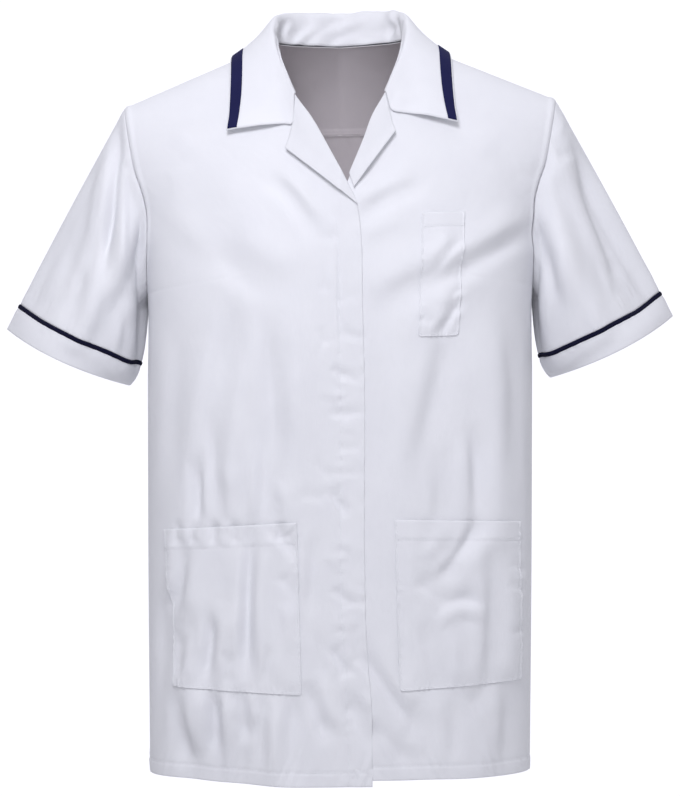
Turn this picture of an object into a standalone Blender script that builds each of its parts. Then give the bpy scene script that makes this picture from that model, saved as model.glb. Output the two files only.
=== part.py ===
"""Medical tunic with short sleeves and a revere collar, in its hollow worn form.

Metres, +Z up, the front faces -Y. The origin lies between the shoulders, level with the neck points,
where a wearer holds the garment up. Left and right in names are the wearer's, so right is at -X.
"""
import math

import bpy
import numpy as np

# Cloth
CLOTH = 0.0012
TRIM = 0.0010
SEAM_GAP = 0.0003
LAYER_GAP = 0.0006

# Sides of the body shell
FRONT = -1
BACK = 1

# Shoulder ridge: height at the neck point, and its fall for each metre of width
NECK_HALF_WIDTH = 0.065
NECK_POINT = 0.066
SHOULDER_TOP = 0.0035
SHOULDER_FALL = 0.4127
BACK_NECK_HEIGHT = 0.003
YOKE_SEAM = -0.085
SHOULDER_SEAM_END = -0.058
ARMPIT = -0.255
SIDE_HALF_WIDTH = 0.1975
HEM = -0.7435
ROUNDNESS = 2.6

# How far the garment leans to one side, at the shoulders and at the hem, as a slope
LEAN_TOP = 0.020
LEAN_HEM = 0.007

# Drop of the over front's hem at the centre, places across where it fades, and its height
FRONT_DROP = 0.006
DROP_FADE = (0.03, 0.19)
DROP_HEIGHT = 0.10

# Height, half width of the shell
BODY_WIDTH = (
    (0.040, 0.300),
    (-0.058, 0.278),
    (-0.090, 0.2553),
    (-0.110, 0.2412),
    (-0.130, 0.2297),
    (-0.150, 0.2172),
    (-0.165, 0.2100),
    (-0.200, 0.2036),
    (-0.230, 0.1995),
    (-0.255, 0.1975),
    (-0.350, 0.1972),
    (-0.550, 0.1965),
    (-0.748, 0.1947),
)

# Height, half width at the armhole seam
ARMHOLE = (
    (-0.0580, 0.2225),
    (-0.0900, 0.2170),
    (-0.1100, 0.2135),
    (-0.1300, 0.2090),
    (-0.1500, 0.2020),
    (-0.1650, 0.1980),
    (-0.2000, 0.1965),
    (-0.2300, 0.1970),
    (-0.2550, 0.1975),
)

# Drop below the shoulder ridge, depth of the front, depth of the back
SHELL_DEPTH = (
    (0.000, 0.000, 0.000),
    (0.010, 0.030, 0.034),
    (0.020, 0.041, 0.048),
    (0.040, 0.055, 0.068),
    (0.070, 0.070, 0.088),
    (0.100, 0.085, 0.100),
    (0.140, 0.102, 0.108),
    (0.180, 0.115, 0.110),
    (0.220, 0.122, 0.108),
    (0.300, 0.126, 0.104),
    (0.450, 0.124, 0.102),
    (0.600, 0.124, 0.107),
    (0.760, 0.126, 0.112),
)

# Height, reach past the centre of the front that laps over: roll line, then front edge
FRONT_EDGE = (
    (0.0035, -0.0660),
    (-0.0080, -0.0635),
    (-0.0380, -0.0530),
    (-0.0560, -0.0455),
    (-0.0812, -0.0285),
    (-0.1159, -0.0097),
    (-0.1438, 0.0048),
    (-0.1713, 0.0170),
    (-0.1970, 0.0205),
    (-0.2670, 0.0224),
    (-0.3450, 0.0243),
    (-0.5200, 0.0246),
    (-0.6030, 0.0264),
    (-0.6640, 0.0310),
    (-0.7600, 0.0324),
)

# The same for the front that runs under
UNDER_EDGE = (
    (0.0035, -0.0660),
    (-0.0080, -0.0635),
    (-0.0380, -0.0530),
    (-0.0560, -0.0455),
    (-0.0812, -0.0318),
    (-0.1033, -0.0238),
    (-0.1445, -0.0071),
    (-0.1713, 0.0035),
    (-0.2100, 0.0180),
    (-0.7600, 0.0180),
)

# Break of the roll line, and how far the front's edge stays back inside the roll above it
BREAK_HEIGHT = -0.1713
BREAK_BLEND = 0.006
ROLL_SETBACK = 0.0019

# Places across and heights between which the under front comes forward from behind the other
LAP_FULL = 0.036
LAP_END = 0.062
LAP_TOP = (-0.135, -0.110)

# Grid of the panels, and the powers that draw rows together at the top
FINE_STEPS = 400
WIDTH_PASSES = 8
EDGE_PASSES = 40
FRONT_SPACING = 1.25
YOKE_SPACING = 1.7
ROWS_ABOVE_ARMPIT = 12
ROWS_BELOW_ARMPIT = 24
FRONT_COLUMNS = 18
BACK_COLUMNS = 24
YOKE_ROWS = 4
BACK_ROWS_ABOVE_ARMPIT = 9

# Levels between which a front's rows turn from the shoulder's slope to level
SLANT_FULL = 0.05
SLANT_END = 0.30

# Folds of the fronts: across, top, bottom, width, height out (troughs negative), lean
FRONT_FOLDS = (
    (0.160, -0.165, -0.300, 0.026, 0.0028, -0.60),
    (-0.120, -0.120, -0.300, 0.028, 0.0028, 0.30),
    (-0.085, -0.300, -0.560, 0.024, -0.0030, -0.06),
    (-0.050, -0.280, -0.540, 0.024, 0.0026, 0.04),
    (-0.130, -0.330, -0.500, 0.026, 0.0026, -0.10),
    (0.078, -0.330, -0.520, 0.026, 0.0024, -0.05),
    (0.115, -0.340, -0.500, 0.024, -0.0024, 0.03),
    (0.150, -0.300, -0.560, 0.024, 0.0024, 0.02),
    (-0.158, -0.690, -0.860, 0.022, -0.0045, 0.02),
    (-0.128, -0.690, -0.860, 0.020, 0.0030, 0.02),
    (-0.096, -0.690, -0.860, 0.022, -0.0045, 0.03),
    (-0.062, -0.690, -0.860, 0.022, 0.0030, 0.10),
    (0.090, -0.690, -0.860, 0.024, -0.0030, 0.00),
    (0.125, -0.690, -0.860, 0.024, 0.0035, 0.00),
)

# Folds of the back, with the same columns
BACK_FOLDS = (
    (0.060, -0.150, -0.420, 0.024, 0.0035, 0.10),
    (-0.070, -0.170, -0.460, 0.024, 0.0035, -0.12),
    (0.000, -0.240, -0.620, 0.022, -0.0030, 0.02),
    (0.120, -0.260, -0.560, 0.020, -0.0030, -0.05),
    (-0.125, -0.240, -0.600, 0.020, -0.0030, 0.05),
    (0.090, -0.520, -0.820, 0.020, 0.0045, 0.02),
    (-0.050, -0.540, -0.820, 0.022, 0.0045, -0.03),
    (0.030, -0.580, -0.820, 0.018, -0.0040, 0.00),
    (-0.110, -0.600, -0.820, 0.018, -0.0040, 0.02),
    (0.150, -0.580, -0.820, 0.016, -0.0030, 0.00),
)
FOLD_FADE = 0.035
SIDE_QUIET = 0.150
SIDE_FADE = 0.04

# Sleeve end: its outer and inner points, half depth, drop of its front, and shift of its middle
CUFF_OUTER = (0.3428, -0.2866)
CUFF_INNER = (0.2177, -0.3468)
CUFF_HALF_DEPTH = 0.0620
CUFF_FRONT_DROP = 0.0055
CUFF_SHIFT_Y = 0.004
SLEEVE_RINGS = 10
UNDERARM_PULL = (0.1987, -0.3420)
SLEEVE_SWELL = 0.010
SLEEVE_TOP_SWELL = 0.003
CUFF_CREASE = 0.75
CUFF_DEPTH = 0.0245
PIPING_WIDTH = 0.0046
PIPING_PROUD = 0.0006
CUFF_PROUD = 0.0004
CUFF_ROWS = 2

# Gaps of the sleeve's first ring along the cloth and outwards, more at the shoulder, and at the piping
ARMHOLE_GAP = 0.3 * SEAM_GAP
ARMHOLE_OFFSET = 1.5 * SEAM_GAP
SHOULDER_OFFSET = 2.0 * SEAM_GAP
PIPING_GAP = 1.4 * SEAM_GAP

# Folds of a sleeve: turn from the shoulder line towards the front, start, end, width, height out
SLEEVE_FOLDS = (
    (70.0, 0.05, 0.70, 13.0, -0.0060),
    (96.0, 0.15, 0.95, 13.0, 0.0040),
    (122.0, 0.02, 0.60, 11.0, -0.0050),
    (40.0, 0.35, 0.95, 15.0, -0.0030),
    (150.0, 0.20, 0.90, 13.0, 0.0020),
    (235.0, 0.05, 0.70, 13.0, -0.0045),
    (265.0, 0.20, 0.95, 15.0, 0.0040),
    (300.0, 0.10, 0.80, 13.0, -0.0040),
)
SLEEVE_FADE_IN = 0.12
SLEEVE_FADE_OUT = 0.15
SLEEVE_QUIET = (0.86, 0.98)

# Collar stations from the centre back to the gorge seam:
# roll across, roll forward or back, roll height, neck seam across at the back, edge across, edge drop
# The edge drop is the square root of its drop below the ridge, and its sign is plus at the back.
COLLAR_STATIONS = (
    (0.0000, 0.0660, 0.0400, 0.0000, 0.0000, 0.2240),
    (0.0400, 0.0570, 0.0400, 0.0380, 0.0430, 0.1900),
    (0.0590, 0.0350, 0.0370, 0.0560, 0.0750, 0.1420),
    (0.0670, 0.0080, 0.0290, 0.0655, 0.1040, 0.1080),
    (0.0675, -0.0180, 0.0120, 0.0660, 0.1108, -0.0560),
    (0.0635, -0.0380, -0.0080, 0.0645, 0.1120, -0.1450),
    (0.0530, -0.0580, -0.0380, 0.0560, 0.1126, -0.2200),
    (0.0455, -0.0680, -0.0560, 0.0475, 0.1130, -0.2830),
)
COLLAR_COLUMNS = 13
STAND_STEPS = 4

# Steps down the fall, as shares of the way to the band
FALL_STEPS = (0.0706, 0.1647, 0.3059, 0.4706, 0.6471, 0.8235)

# Neck seam: share of the collar at the neck point, spacing down the front, insets at back and front
NECK_TURN = 3.0 / 7.0
NECK_SPACING = 1.35
NECK_INSET_BACK = (0.0, -0.0006, 0.0010)
NECK_INSET_FRONT = (-0.0012, 0.0008, 0.0006)
COLLAR_ROLL = 0.0050
ROLL_SHARE = 0.35
FALL_BELLY = 0.001
COLLAR_CLEAR = 0.0012
RIDGE_CLEAR = 0.0012
RIDGE_REACH = 0.016
TRIM_INSET = 0.0012
TRIM_WIDTH = 0.0090
TRIM_END = 0.12

# Where the collar starts to swing to its end at the gorge, and how late the swing comes
END_START = 0.62
END_POWER = 1.5

# Notch, lapel corner and collar point on each side: across, height
NOTCH = {-1: (0.0470, -0.0870), 1: (0.0515, -0.0760)}
LAPEL_CORNER = {-1: (0.0537, -0.1150), 1: (0.0545, -0.1000)}
COLLAR_POINT = {-1: (0.1120, -0.0960), 1: (0.1170, -0.0910)}
GORGE_TOP = (0.0455, -0.0560)
NOTCH_GAP = 0.0004
NOTCH_FADE = 0.25
LAPEL_ROWS = 10
LAPEL_COLUMNS = 6
LAPEL_END = {-1: (-0.0172, -0.1720), 1: (0.0135, -0.1550)}
LAPEL_ROLL_END = {-1: -0.1700, 1: -0.1400}
ROLL_RADIUS = 0.0015
ROLL_TURNS = (-70.0, -20.0, 35.0, 90.0)
NARROW_SHARE = 0.45

# Patch pockets: corners of the outline as across and height, and rounding of the lower corners
POCKETS = {
    "pocket_lower_right": {
        "top": ((-0.1765, -0.4935), (-0.0425, -0.4868)),
        "bottom": ((-0.1670, -0.6515), (-0.0380, -0.6585)),
        "columns": 13,
        "rows": 10,
        "round": 0.003,
    },
    "pocket_lower_left": {
        "top": ((0.0538, -0.4852), (0.1763, -0.4900)),
        "bottom": ((0.0592, -0.6552), (0.1808, -0.6490)),
        "columns": 13,
        "rows": 10,
        "round": 0.003,
    },
    "pocket_chest": {
        "top": ((0.0817, -0.1812), (0.1239, -0.1808)),
        "bottom": ((0.0773, -0.3048), (0.1180, -0.3040)),
        "columns": 4,
        "rows": 8,
        "round": 0.003,
    },
}
POCKET_CLEAR = 0.0011
CORNER_TURNS = (0.0, 35.0, 65.0, 90.0)

WHITE = (0.86, 0.87, 0.90, 1.0)
NAVY = (0.012, 0.014, 0.060, 1.0)
CLOTH_ROUGHNESS = 0.85


def unit(vectors):
    """Vectors scaled to length one along their last axis."""
    length = np.linalg.norm(vectors, axis=-1, keepdims=True)
    return vectors / np.maximum(length, 1e-12)


def ease(start, end, value):
    """Zero before start, one after end, and a smooth rise between."""
    share = np.clip((value - start) / (end - start), 0.0, 1.0)
    return share * share * (3.0 - 2.0 * share)


def along(places, values, wanted):
    """Smooth curve through values at rising places, read at the wanted places."""
    places = np.asarray(places, float)
    values = np.asarray(values, float)
    slopes = np.gradient(values, places, axis=0)
    wanted = np.clip(np.asarray(wanted, float), places[0], places[-1])
    cell = np.clip(np.searchsorted(places, wanted) - 1, 0, len(places) - 2)
    width = places[cell + 1] - places[cell]
    part = (wanted - places[cell]) / width
    if values.ndim > 1:
        width = width[..., None]
        part = part[..., None]
    first = values[cell] * (1 + 2 * part) * (1 - part) ** 2
    last = values[cell + 1] * part ** 2 * (3 - 2 * part)
    start = slopes[cell] * width * part * (1 - part) ** 2
    stop = slopes[cell + 1] * width * part ** 2 * (part - 1)
    return first + last + start + stop


def by_height(table, height):
    """Second column of a table whose first column is a falling height."""
    rows = np.array(table)
    return along(-rows[:, 0], rows[:, 1], -np.asarray(height, float))


def shoulder_height(across):
    """Height of the shoulder ridge at a distance from the middle."""
    return SHOULDER_TOP + (NECK_HALF_WIDTH - np.abs(across)) * SHOULDER_FALL


def shell_depth(side, drop):
    """Depth of the shell below the ridge, which rounds over it like a square root."""
    rows = np.array(SHELL_DEPTH)
    column = 1 if side == FRONT else 2
    return along(np.sqrt(rows[:, 0]), rows[:, column], np.sqrt(np.maximum(drop, 0.0)))


def shell_points(side, across, height):
    """Points of the plain body shell at given places across and heights."""
    drop = np.maximum(shoulder_height(across) - height, 0.0)
    share = np.clip(np.abs(across) / by_height(BODY_WIDTH, height), 0.0, 1.0)
    reach = (1.0 - share ** ROUNDNESS) ** (1.0 / ROUNDNESS)
    return np.stack([across, side * shell_depth(side, drop) * reach, height], axis=-1)


def shell_row(side, start, end, height_at, count, trims=(0.0, 0.0)):
    """One row across the shell, its points evenly spaced along the cloth."""
    ends = np.array([start, end], float)
    widths = by_height(BODY_WIDTH, height_at(ends))
    shares = np.clip(ends / widths, -1.0, 1.0)
    turns = np.arcsin(np.sign(shares) * np.abs(shares) ** (ROUNDNESS / 2))
    turn = np.linspace(turns[0], turns[1], FINE_STEPS)
    share = np.sign(turn) * np.abs(np.sin(turn)) ** (2 / ROUNDNESS)
    across = share * widths.mean()
    for _ in range(WIDTH_PASSES):
        across = share * by_height(BODY_WIDTH, height_at(across))
    across[0] = start
    across[-1] = end
    points = shell_points(side, across, height_at(across))
    return even_points(points, count, trims)


def even_points(points, count, trims=(0.0, 0.0)):
    """Points at equal steps along a line of points, with its ends trimmed back."""
    steps = np.linalg.norm(np.diff(points, axis=0), axis=1)
    length = np.concatenate([[0.0], np.cumsum(steps)])
    places = np.linspace(trims[0], length[-1] - trims[1], count)
    return np.stack([np.interp(places, length, points[:, axis]) for axis in range(3)], axis=-1)


def grid_normals(grid, ring=False):
    """Unit normals of a grid of points, from the lines that cross at each."""
    down = np.gradient(grid, axis=0)
    if ring:
        wrapped = np.concatenate([grid[:, -1:], grid, grid[:, :1]], axis=1)
        over = np.gradient(wrapped, axis=1)[:, 1:-1]
    else:
        over = np.gradient(grid, axis=1)
    return unit(np.cross(down, over))


def fold_height(folds, points):
    """Height of all folds at each point: soft ridges and troughs that fade at their ends."""
    total = np.zeros(points.shape[:-1])
    for across, top, bottom, width, height, slope in folds:
        line = across + slope * (top - points[..., 2])
        shape = np.exp(-((points[..., 0] - line) / width) ** 2)
        fade = ease(bottom - FOLD_FADE, bottom + FOLD_FADE, points[..., 2])
        fade = fade * (1.0 - ease(top - FOLD_FADE, top + FOLD_FADE, points[..., 2]))
        total += height * shape * fade
    quiet = 1.0 - ease(SIDE_QUIET, SIDE_QUIET + SIDE_FADE, np.abs(points[..., 0]))
    return total * quiet


def folded(side, grid, folds):
    """Grid with its folds raised along outward normals, and those normals."""
    normals = outward(grid, side)
    grid = grid + normals * fold_height(folds, grid)[..., None]
    return grid, outward(grid, side)


def outward(grid, side):
    """Normals of a body panel, turned away from the middle of the garment."""
    normals = grid_normals(grid)
    middle = normals[normals.shape[0] // 2, normals.shape[1] // 2]
    if middle[1] * side < 0:
        normals = -normals
    return normals


def square_edge(normals, rows, columns, axis):
    """Normals along an edge kept from leaning along one axis, so that seams meet squarely."""
    normals[rows, columns, axis] = 0.0
    normals[rows, columns] = unit(normals[rows, columns])


def lean(points):
    """Whole garment leans a little to one side, as it hangs on a wearer."""
    points = np.array(points, float)
    slope = LEAN_HEM + (LEAN_TOP - LEAN_HEM) * ease(HEM, ARMPIT, points[..., 2])
    points[..., 2] += points[..., 0] * slope
    return points


def add_wall(name, outer, inner, colour, ring=False):
    """Closed solid between an outer and an inner grid of points, as a named object."""
    rows, columns = outer.shape[:2]
    count = rows * columns
    points = lean(np.concatenate([outer.reshape(-1, 3), inner.reshape(-1, 3)]))
    index = np.arange(count).reshape(rows, columns)
    if ring:
        index = np.concatenate([index, index[:, :1]], axis=1)
    first = index[:-1, :-1].ravel()
    second = index[1:, :-1].ravel()
    third = index[1:, 1:].ravel()
    fourth = index[:-1, 1:].ravel()
    skin = np.concatenate([
        np.stack([first, second, third], axis=1),
        np.stack([first, third, fourth], axis=1),
    ])
    faces = [skin, skin[:, ::-1] + count]
    edges = [index[0][::-1], index[-1]]
    if not ring:
        edges += [index[:, 0], index[::-1, -1]]
    for edge in edges:
        start = edge[:-1]
        stop = edge[1:]
        faces.append(np.stack([stop, start, start + count], axis=1))
        faces.append(np.stack([stop, start + count, stop + count], axis=1))
    faces = np.concatenate(faces)
    corners = points[faces]
    if np.sum(np.cross(corners[:, 0], corners[:, 1]) * corners[:, 2]) < 0:
        faces = faces[:, ::-1]
    mesh = bpy.data.meshes.new(name)
    mesh.from_pydata(points.tolist(), [], faces.tolist())
    mesh.update()
    smooth = [place < 2 * len(skin) for place in range(len(faces))]
    mesh.polygons.foreach_set("use_smooth", smooth)
    item = bpy.data.objects.new(name, mesh)
    bpy.data.collections["medical_tunic"].objects.link(item)
    item.data.materials.append(cloth_material(name, colour))
    return item


def cloth_material(name, colour):
    """Plain woven cloth of one colour."""
    material = bpy.data.materials.new(name + "_cloth")
    material.use_nodes = True
    shader = material.node_tree.nodes["Principled BSDF"]
    shader.inputs["Base Color"].default_value = colour
    shader.inputs["Roughness"].default_value = CLOTH_ROUGHNESS
    shader.inputs["Metallic"].default_value = 0.0
    return material


def clear_scene():
    """Remove what the scene starts with and make the garment's collection."""
    for item in list(bpy.data.objects):
        bpy.data.objects.remove(item)
    group = bpy.data.collections.new("medical_tunic")
    bpy.context.scene.collection.children.link(group)


def slanted(level):
    """Height across a front row: along the shoulder at the top, level from the chest down."""
    share = 1.0 - ease(SLANT_FULL, SLANT_END, level)
    side_height = shoulder_height(SIDE_HALF_WIDTH)

    def height_at(across):
        return side_height - level + share * (shoulder_height(across) - side_height)

    return height_at


def settle(across_at, height_at, start):
    """Place where a row meets an edge that is given by height."""
    across = start
    for _ in range(EDGE_PASSES):
        across = 0.5 * across + 0.5 * across_at(height_at(across))
    return float(across)


def front_levels():
    """Row levels of the fronts, measured down from the ridge at the side."""
    side_height = shoulder_height(SIDE_HALF_WIDTH)
    armpit_level = side_height - ARMPIT
    upper = np.linspace(0.0, 1.0, ROWS_ABOVE_ARMPIT + 1) ** FRONT_SPACING * armpit_level
    lower = np.linspace(armpit_level, side_height - HEM, ROWS_BELOW_ARMPIT + 1)[1:]
    return np.concatenate([upper, lower])


def front_reach(hand, height):
    """Inner edge of a front, as its reach past the centre: roll line, then front edge or underlap."""
    return by_height(FRONT_EDGE if hand < 0 else UNDER_EDGE, height)


def side_reach(height):
    """Half width where a panel ends: the armhole seam, then the side seam."""
    return np.where(height > ARMPIT + 1e-6, by_height(ARMHOLE, height), by_height(BODY_WIDTH, height))


def front_grid(hand):
    """Outer points of one front, rows from the shoulder to the hem, columns to the side."""
    rows = []
    for level in front_levels():
        height_at = slanted(level)
        inner = settle(lambda z: front_reach(hand, z), height_at, 0.0)
        outer = -settle(side_reach, height_at, SIDE_HALF_WIDTH)
        above = ease(BREAK_HEIGHT - BREAK_BLEND, BREAK_HEIGHT + BREAK_BLEND, height_at(inner))
        trims = (ROLL_SETBACK * above, SEAM_GAP / 2)
        row = shell_row(FRONT, inner, outer, height_at, FRONT_COLUMNS + 1, trims)
        rows.append(row)
    grid = np.array(rows)
    grid[..., 0] *= -hand
    grid[0, :, 1] = -SEAM_GAP / 2
    return grid


def build_fronts():
    """Both fronts; the right one laps over the left, which sinks behind it at the centre."""
    grids = {}
    for hand, name in ((-1, "front_right"), (1, "front_left")):
        grid, normals = folded(FRONT, front_grid(hand), FRONT_FOLDS)
        if hand > 0:
            sink = (CLOTH + LAYER_GAP) * (1.0 - ease(LAP_FULL, LAP_END, grid[..., 0]))
            sink = sink * (1.0 - ease(LAP_TOP[0], LAP_TOP[1], grid[..., 2]))
            grid = grid - normals * sink[..., None]
            normals = outward(grid, FRONT)
        else:
            drop = FRONT_DROP * (1.0 - ease(DROP_FADE[0], DROP_FADE[1], np.abs(grid[..., 0])))
            grid[..., 2] -= drop * (1.0 - ease(HEM, HEM + DROP_HEIGHT, grid[..., 2]))
        square_edge(normals, 0, slice(None), 1)
        square_edge(normals, slice(ROWS_ABOVE_ARMPIT, None), -1, 1)
        add_wall(name, grid, grid - CLOTH * normals, WHITE)
        grids[hand] = (grid, normals)
    return grids


def build_back():
    """Back yoke and back, which meet at the yoke seam."""
    yoke = build_yoke()
    upper = np.linspace(YOKE_SEAM - SEAM_GAP / 2, ARMPIT, BACK_ROWS_ABOVE_ARMPIT + 1)
    lower = np.linspace(ARMPIT, HEM, ROWS_BELOW_ARMPIT + 1)[1:]
    rows = []
    for level in np.concatenate([upper, lower]):
        reach = float(side_reach(np.array(level)))
        trims = (SEAM_GAP / 2, SEAM_GAP / 2)
        rows.append(shell_row(BACK, -reach, reach, level_row(level), BACK_COLUMNS + 1, trims))
    back, back_normals = folded(BACK, np.array(rows), BACK_FOLDS)
    square_edge(back_normals, slice(BACK_ROWS_ABOVE_ARMPIT, None), 0, 1)
    square_edge(back_normals, slice(BACK_ROWS_ABOVE_ARMPIT, None), -1, 1)
    add_wall("back", back, back - CLOTH * back_normals, WHITE)
    return yoke, (back, back_normals)


def level_row(level):
    """Height across a level row."""
    def height_at(across):
        return np.full(np.shape(across), level)

    return height_at


def build_yoke():
    """Back yoke, from the shoulder ridge and the neck down to its seam."""
    shares = np.linspace(-1.0, 1.0, BACK_COLUMNS + 1)
    rows = []
    for step in np.linspace(0.0, 1.0, YOKE_ROWS + 1) ** YOKE_SPACING:
        outer = by_height(ARMHOLE, SHOULDER_SEAM_END + step * (YOKE_SEAM - SHOULDER_SEAM_END))
        across = shares * outer
        top = np.minimum(shoulder_height(across), BACK_NECK_HEIGHT)
        height = top + step * (YOKE_SEAM + SEAM_GAP - top)
        rows.append(shell_points(BACK, across, height))
    yoke = np.array(rows)
    yoke[0, :, 1] = np.maximum(yoke[0, :, 1], SEAM_GAP / 2)
    normals = outward(yoke, BACK)
    square_edge(normals, 0, np.abs(yoke[0, :, 0]) > NECK_POINT, 1)
    add_wall("back_yoke", yoke, yoke - CLOTH * normals, WHITE)
    return yoke, normals


def armhole_loop(hand, front, yoke, back):
    """Seam points of one armhole, from the shoulder down the front and up the back."""
    column = -1 if hand > 0 else 0
    down = front[0][:ROWS_ABOVE_ARMPIT + 1, -1]
    down_normals = front[1][:ROWS_ABOVE_ARMPIT + 1, -1]
    up = np.concatenate([
        back[0][1:BACK_ROWS_ABOVE_ARMPIT, column][::-1],
        yoke[0][1:, column][::-1],
    ])
    up_normals = np.concatenate([
        back[1][1:BACK_ROWS_ABOVE_ARMPIT, column][::-1],
        yoke[1][1:, column][::-1],
    ])
    points = np.concatenate([down, up])
    normals = np.concatenate([down_normals, up_normals])
    points[0, 1] = 0.0
    points[ROWS_ABOVE_ARMPIT, 1] = 0.0
    normals[0] = unit(down_normals[0] + yoke[1][0, column])
    return points, normals


def cuff_ring(hand, turns):
    """Sleeve end at given turns: an oval square to the sleeve, creased at both ends, its front lower."""
    outer = np.array([CUFF_OUTER[0], 0.0, CUFF_OUTER[1]])
    inner = np.array([CUFF_INNER[0], 0.0, CUFF_INNER[1]])
    middle = (outer + inner) / 2 + np.array([0.0, CUFF_SHIFT_Y, 0.0])
    half = (outer - inner) / 2
    across = unit(half)
    axis = np.array([across[2], 0.0, -across[0]])
    forward = np.array([0.0, -CUFF_HALF_DEPTH, 0.0]) + CUFF_FRONT_DROP * axis
    straight = 1.0 - 2.0 * np.minimum(turns, 2 * math.pi - turns) / math.pi
    cosine = (1.0 - CUFF_CREASE) * np.cos(turns) + CUFF_CREASE * straight
    ring = middle + cosine[:, None] * half + np.sin(turns)[:, None] * forward
    ring[:, 0] *= hand
    return ring


def sleeve_grid(hand, loop, turns):
    """Sleeve from the armhole to its end, each column a curve with its belly outwards."""
    end = cuff_ring(hand, turns)
    inner_share = np.clip(-np.cos(turns), 0.0, 1.0)[:, None] ** 4
    swell = SLEEVE_SWELL * np.sin(turns)[:, None] ** 2
    middle = (loop + end) / 2
    middle[:, 1:2] -= np.sin(turns)[:, None] * swell
    middle[:, 0] += hand * SLEEVE_TOP_SWELL * np.maximum(np.cos(turns), 0.0)
    pull = np.array([hand * UNDERARM_PULL[0], 0.0, UNDERARM_PULL[1]])
    pull = pull + np.stack([np.zeros(len(turns)), middle[:, 1], np.zeros(len(turns))], axis=1)
    middle = middle * (1 - inner_share) + pull * inner_share
    share = np.linspace(0.0, 1.0, SLEEVE_RINGS + 1)[:, None, None]
    return (1 - share) ** 2 * loop + 2 * share * (1 - share) * middle + share ** 2 * end


def sleeve_turns(loop):
    """Turn of each seam point, by its share of the way down the front and up the back."""
    closed = np.concatenate([loop, loop[:1]])
    steps = np.linalg.norm(np.diff(closed, axis=0), axis=1)
    length = np.concatenate([[0.0], np.cumsum(steps)])
    bottom = length[ROWS_ABOVE_ARMPIT]
    front = length[:ROWS_ABOVE_ARMPIT + 1] / bottom * math.pi
    back = math.pi * (1.0 + (length[ROWS_ABOVE_ARMPIT + 1:-1] - bottom) / (length[-1] - bottom))
    return np.concatenate([front, back])


def ring_outward(grid):
    """Normals of a tube of rings, turned away from each ring's middle."""
    normals = grid_normals(grid, ring=True)
    middle = grid.mean(axis=1, keepdims=True)
    if np.sum(normals * (grid - middle)) < 0:
        normals = -normals
    return normals


def ring_part(grid, starts, ends, rows):
    """Rings of a tube between two distances from its end, worked out column by column."""
    result = []
    for share in np.linspace(0.0, 1.0, rows + 1):
        distance = starts + share * (ends - starts)
        result.append(ring_at(grid, distance))
    return np.array(result)


def ring_at(grid, distance):
    """Ring of a tube at a distance back from its end, in each column."""
    reverse = grid[::-1]
    ring = []
    for column in range(grid.shape[1]):
        line = reverse[:, column]
        steps = np.linalg.norm(np.diff(line, axis=0), axis=1)
        length = np.concatenate([[0.0], np.cumsum(steps)])
        ring.append([np.interp(distance, length, line[:, axis]) for axis in range(3)])
    return np.array(ring)


def build_sleeve(hand, word, front, yoke, back):
    """Sleeve, its piping and its cuff, all on one tube."""
    loop, loop_normals = armhole_loop(hand, front, yoke, back)
    turns = sleeve_turns(loop)
    tube = sleeve_grid(hand, loop, turns)
    normals = ring_outward(tube)
    degrees = np.degrees(turns)[None, :]
    share = np.linspace(0.0, 1.0, SLEEVE_RINGS + 1)[:, None]
    raised = np.zeros(tube.shape[:2])
    for turn, start, end, width, height in SLEEVE_FOLDS:
        window = ease(start - SLEEVE_FADE_IN, start + SLEEVE_FADE_IN, share)
        window = window * (1 - ease(end - SLEEVE_FADE_OUT, end + SLEEVE_FADE_OUT, share))
        raised += height * np.exp(-((degrees - turn) / width) ** 2) * window
    raised *= 1.0 - ease(SLEEVE_QUIET[0], SLEEVE_QUIET[1], share)
    raised *= ease(0.0, SLEEVE_FADE_OUT, share)
    tube = tube + normals * raised[..., None]
    tube[0] += unit(tube[1] - tube[0]) * ARMHOLE_GAP
    tube[0, :, 0] += hand * (ARMHOLE_OFFSET + SHOULDER_OFFSET * ease(0.6, 0.95, np.cos(turns)))
    tube[0, ROWS_ABOVE_ARMPIT] += np.array([hand * SEAM_GAP, 0.0, SEAM_GAP])
    normals = ring_outward(tube)
    near_shoulder = ease(0.35, 0.75, np.cos(turns))[:, None]
    normals[0] = unit(normals[0] * (1 - near_shoulder) + loop_normals * near_shoulder)
    piping_top = CUFF_DEPTH + PIPING_WIDTH
    rings = tube_rings(tube, piping_top + PIPING_GAP)
    main_normals = ring_outward(rings)
    main_normals[0] = normals[0]
    add_wall("sleeve_" + word, rings, rings - CLOTH * main_normals, WHITE, ring=True)
    piping = ring_part(tube, piping_top, CUFF_DEPTH, 1)
    piping_normals = ring_outward(piping)
    outer = piping + PIPING_PROUD * piping_normals
    inner = piping - CLOTH * piping_normals
    add_wall("sleeve_piping_" + word, outer, inner, NAVY, ring=True)
    cuff = ring_part(tube, CUFF_DEPTH - PIPING_GAP, 0.0, CUFF_ROWS)
    cuff_normals = ring_outward(cuff)
    outer = cuff + CUFF_PROUD * cuff_normals
    add_wall("cuff_" + word, outer, cuff - CLOTH * cuff_normals, WHITE, ring=True)


def tube_rings(tube, stop):
    """Rings of a sleeve from the seam to a distance back from its end, at even steps."""
    columns = []
    for column in range(tube.shape[1]):
        columns.append(even_points(tube[:, column], SLEEVE_RINGS + 1, (0.0, stop)))
    return np.stack(columns, axis=1)


def body_samples():
    """Close points of the upper shell and their normals, to keep outer layers clear of it."""
    across = np.linspace(-0.20, 0.20, 121)
    root = np.linspace(0.0, 0.50, 91)
    points = []
    normals = []
    for side in (FRONT, BACK):
        grid_across, grid_root = np.meshgrid(across, root)
        height = shoulder_height(grid_across) - grid_root ** 2
        grid = shell_points(side, grid_across, height)
        points.append(grid.reshape(-1, 3))
        normals.append(outward(grid, side).reshape(-1, 3))
    return np.concatenate(points), np.concatenate(normals)


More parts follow.
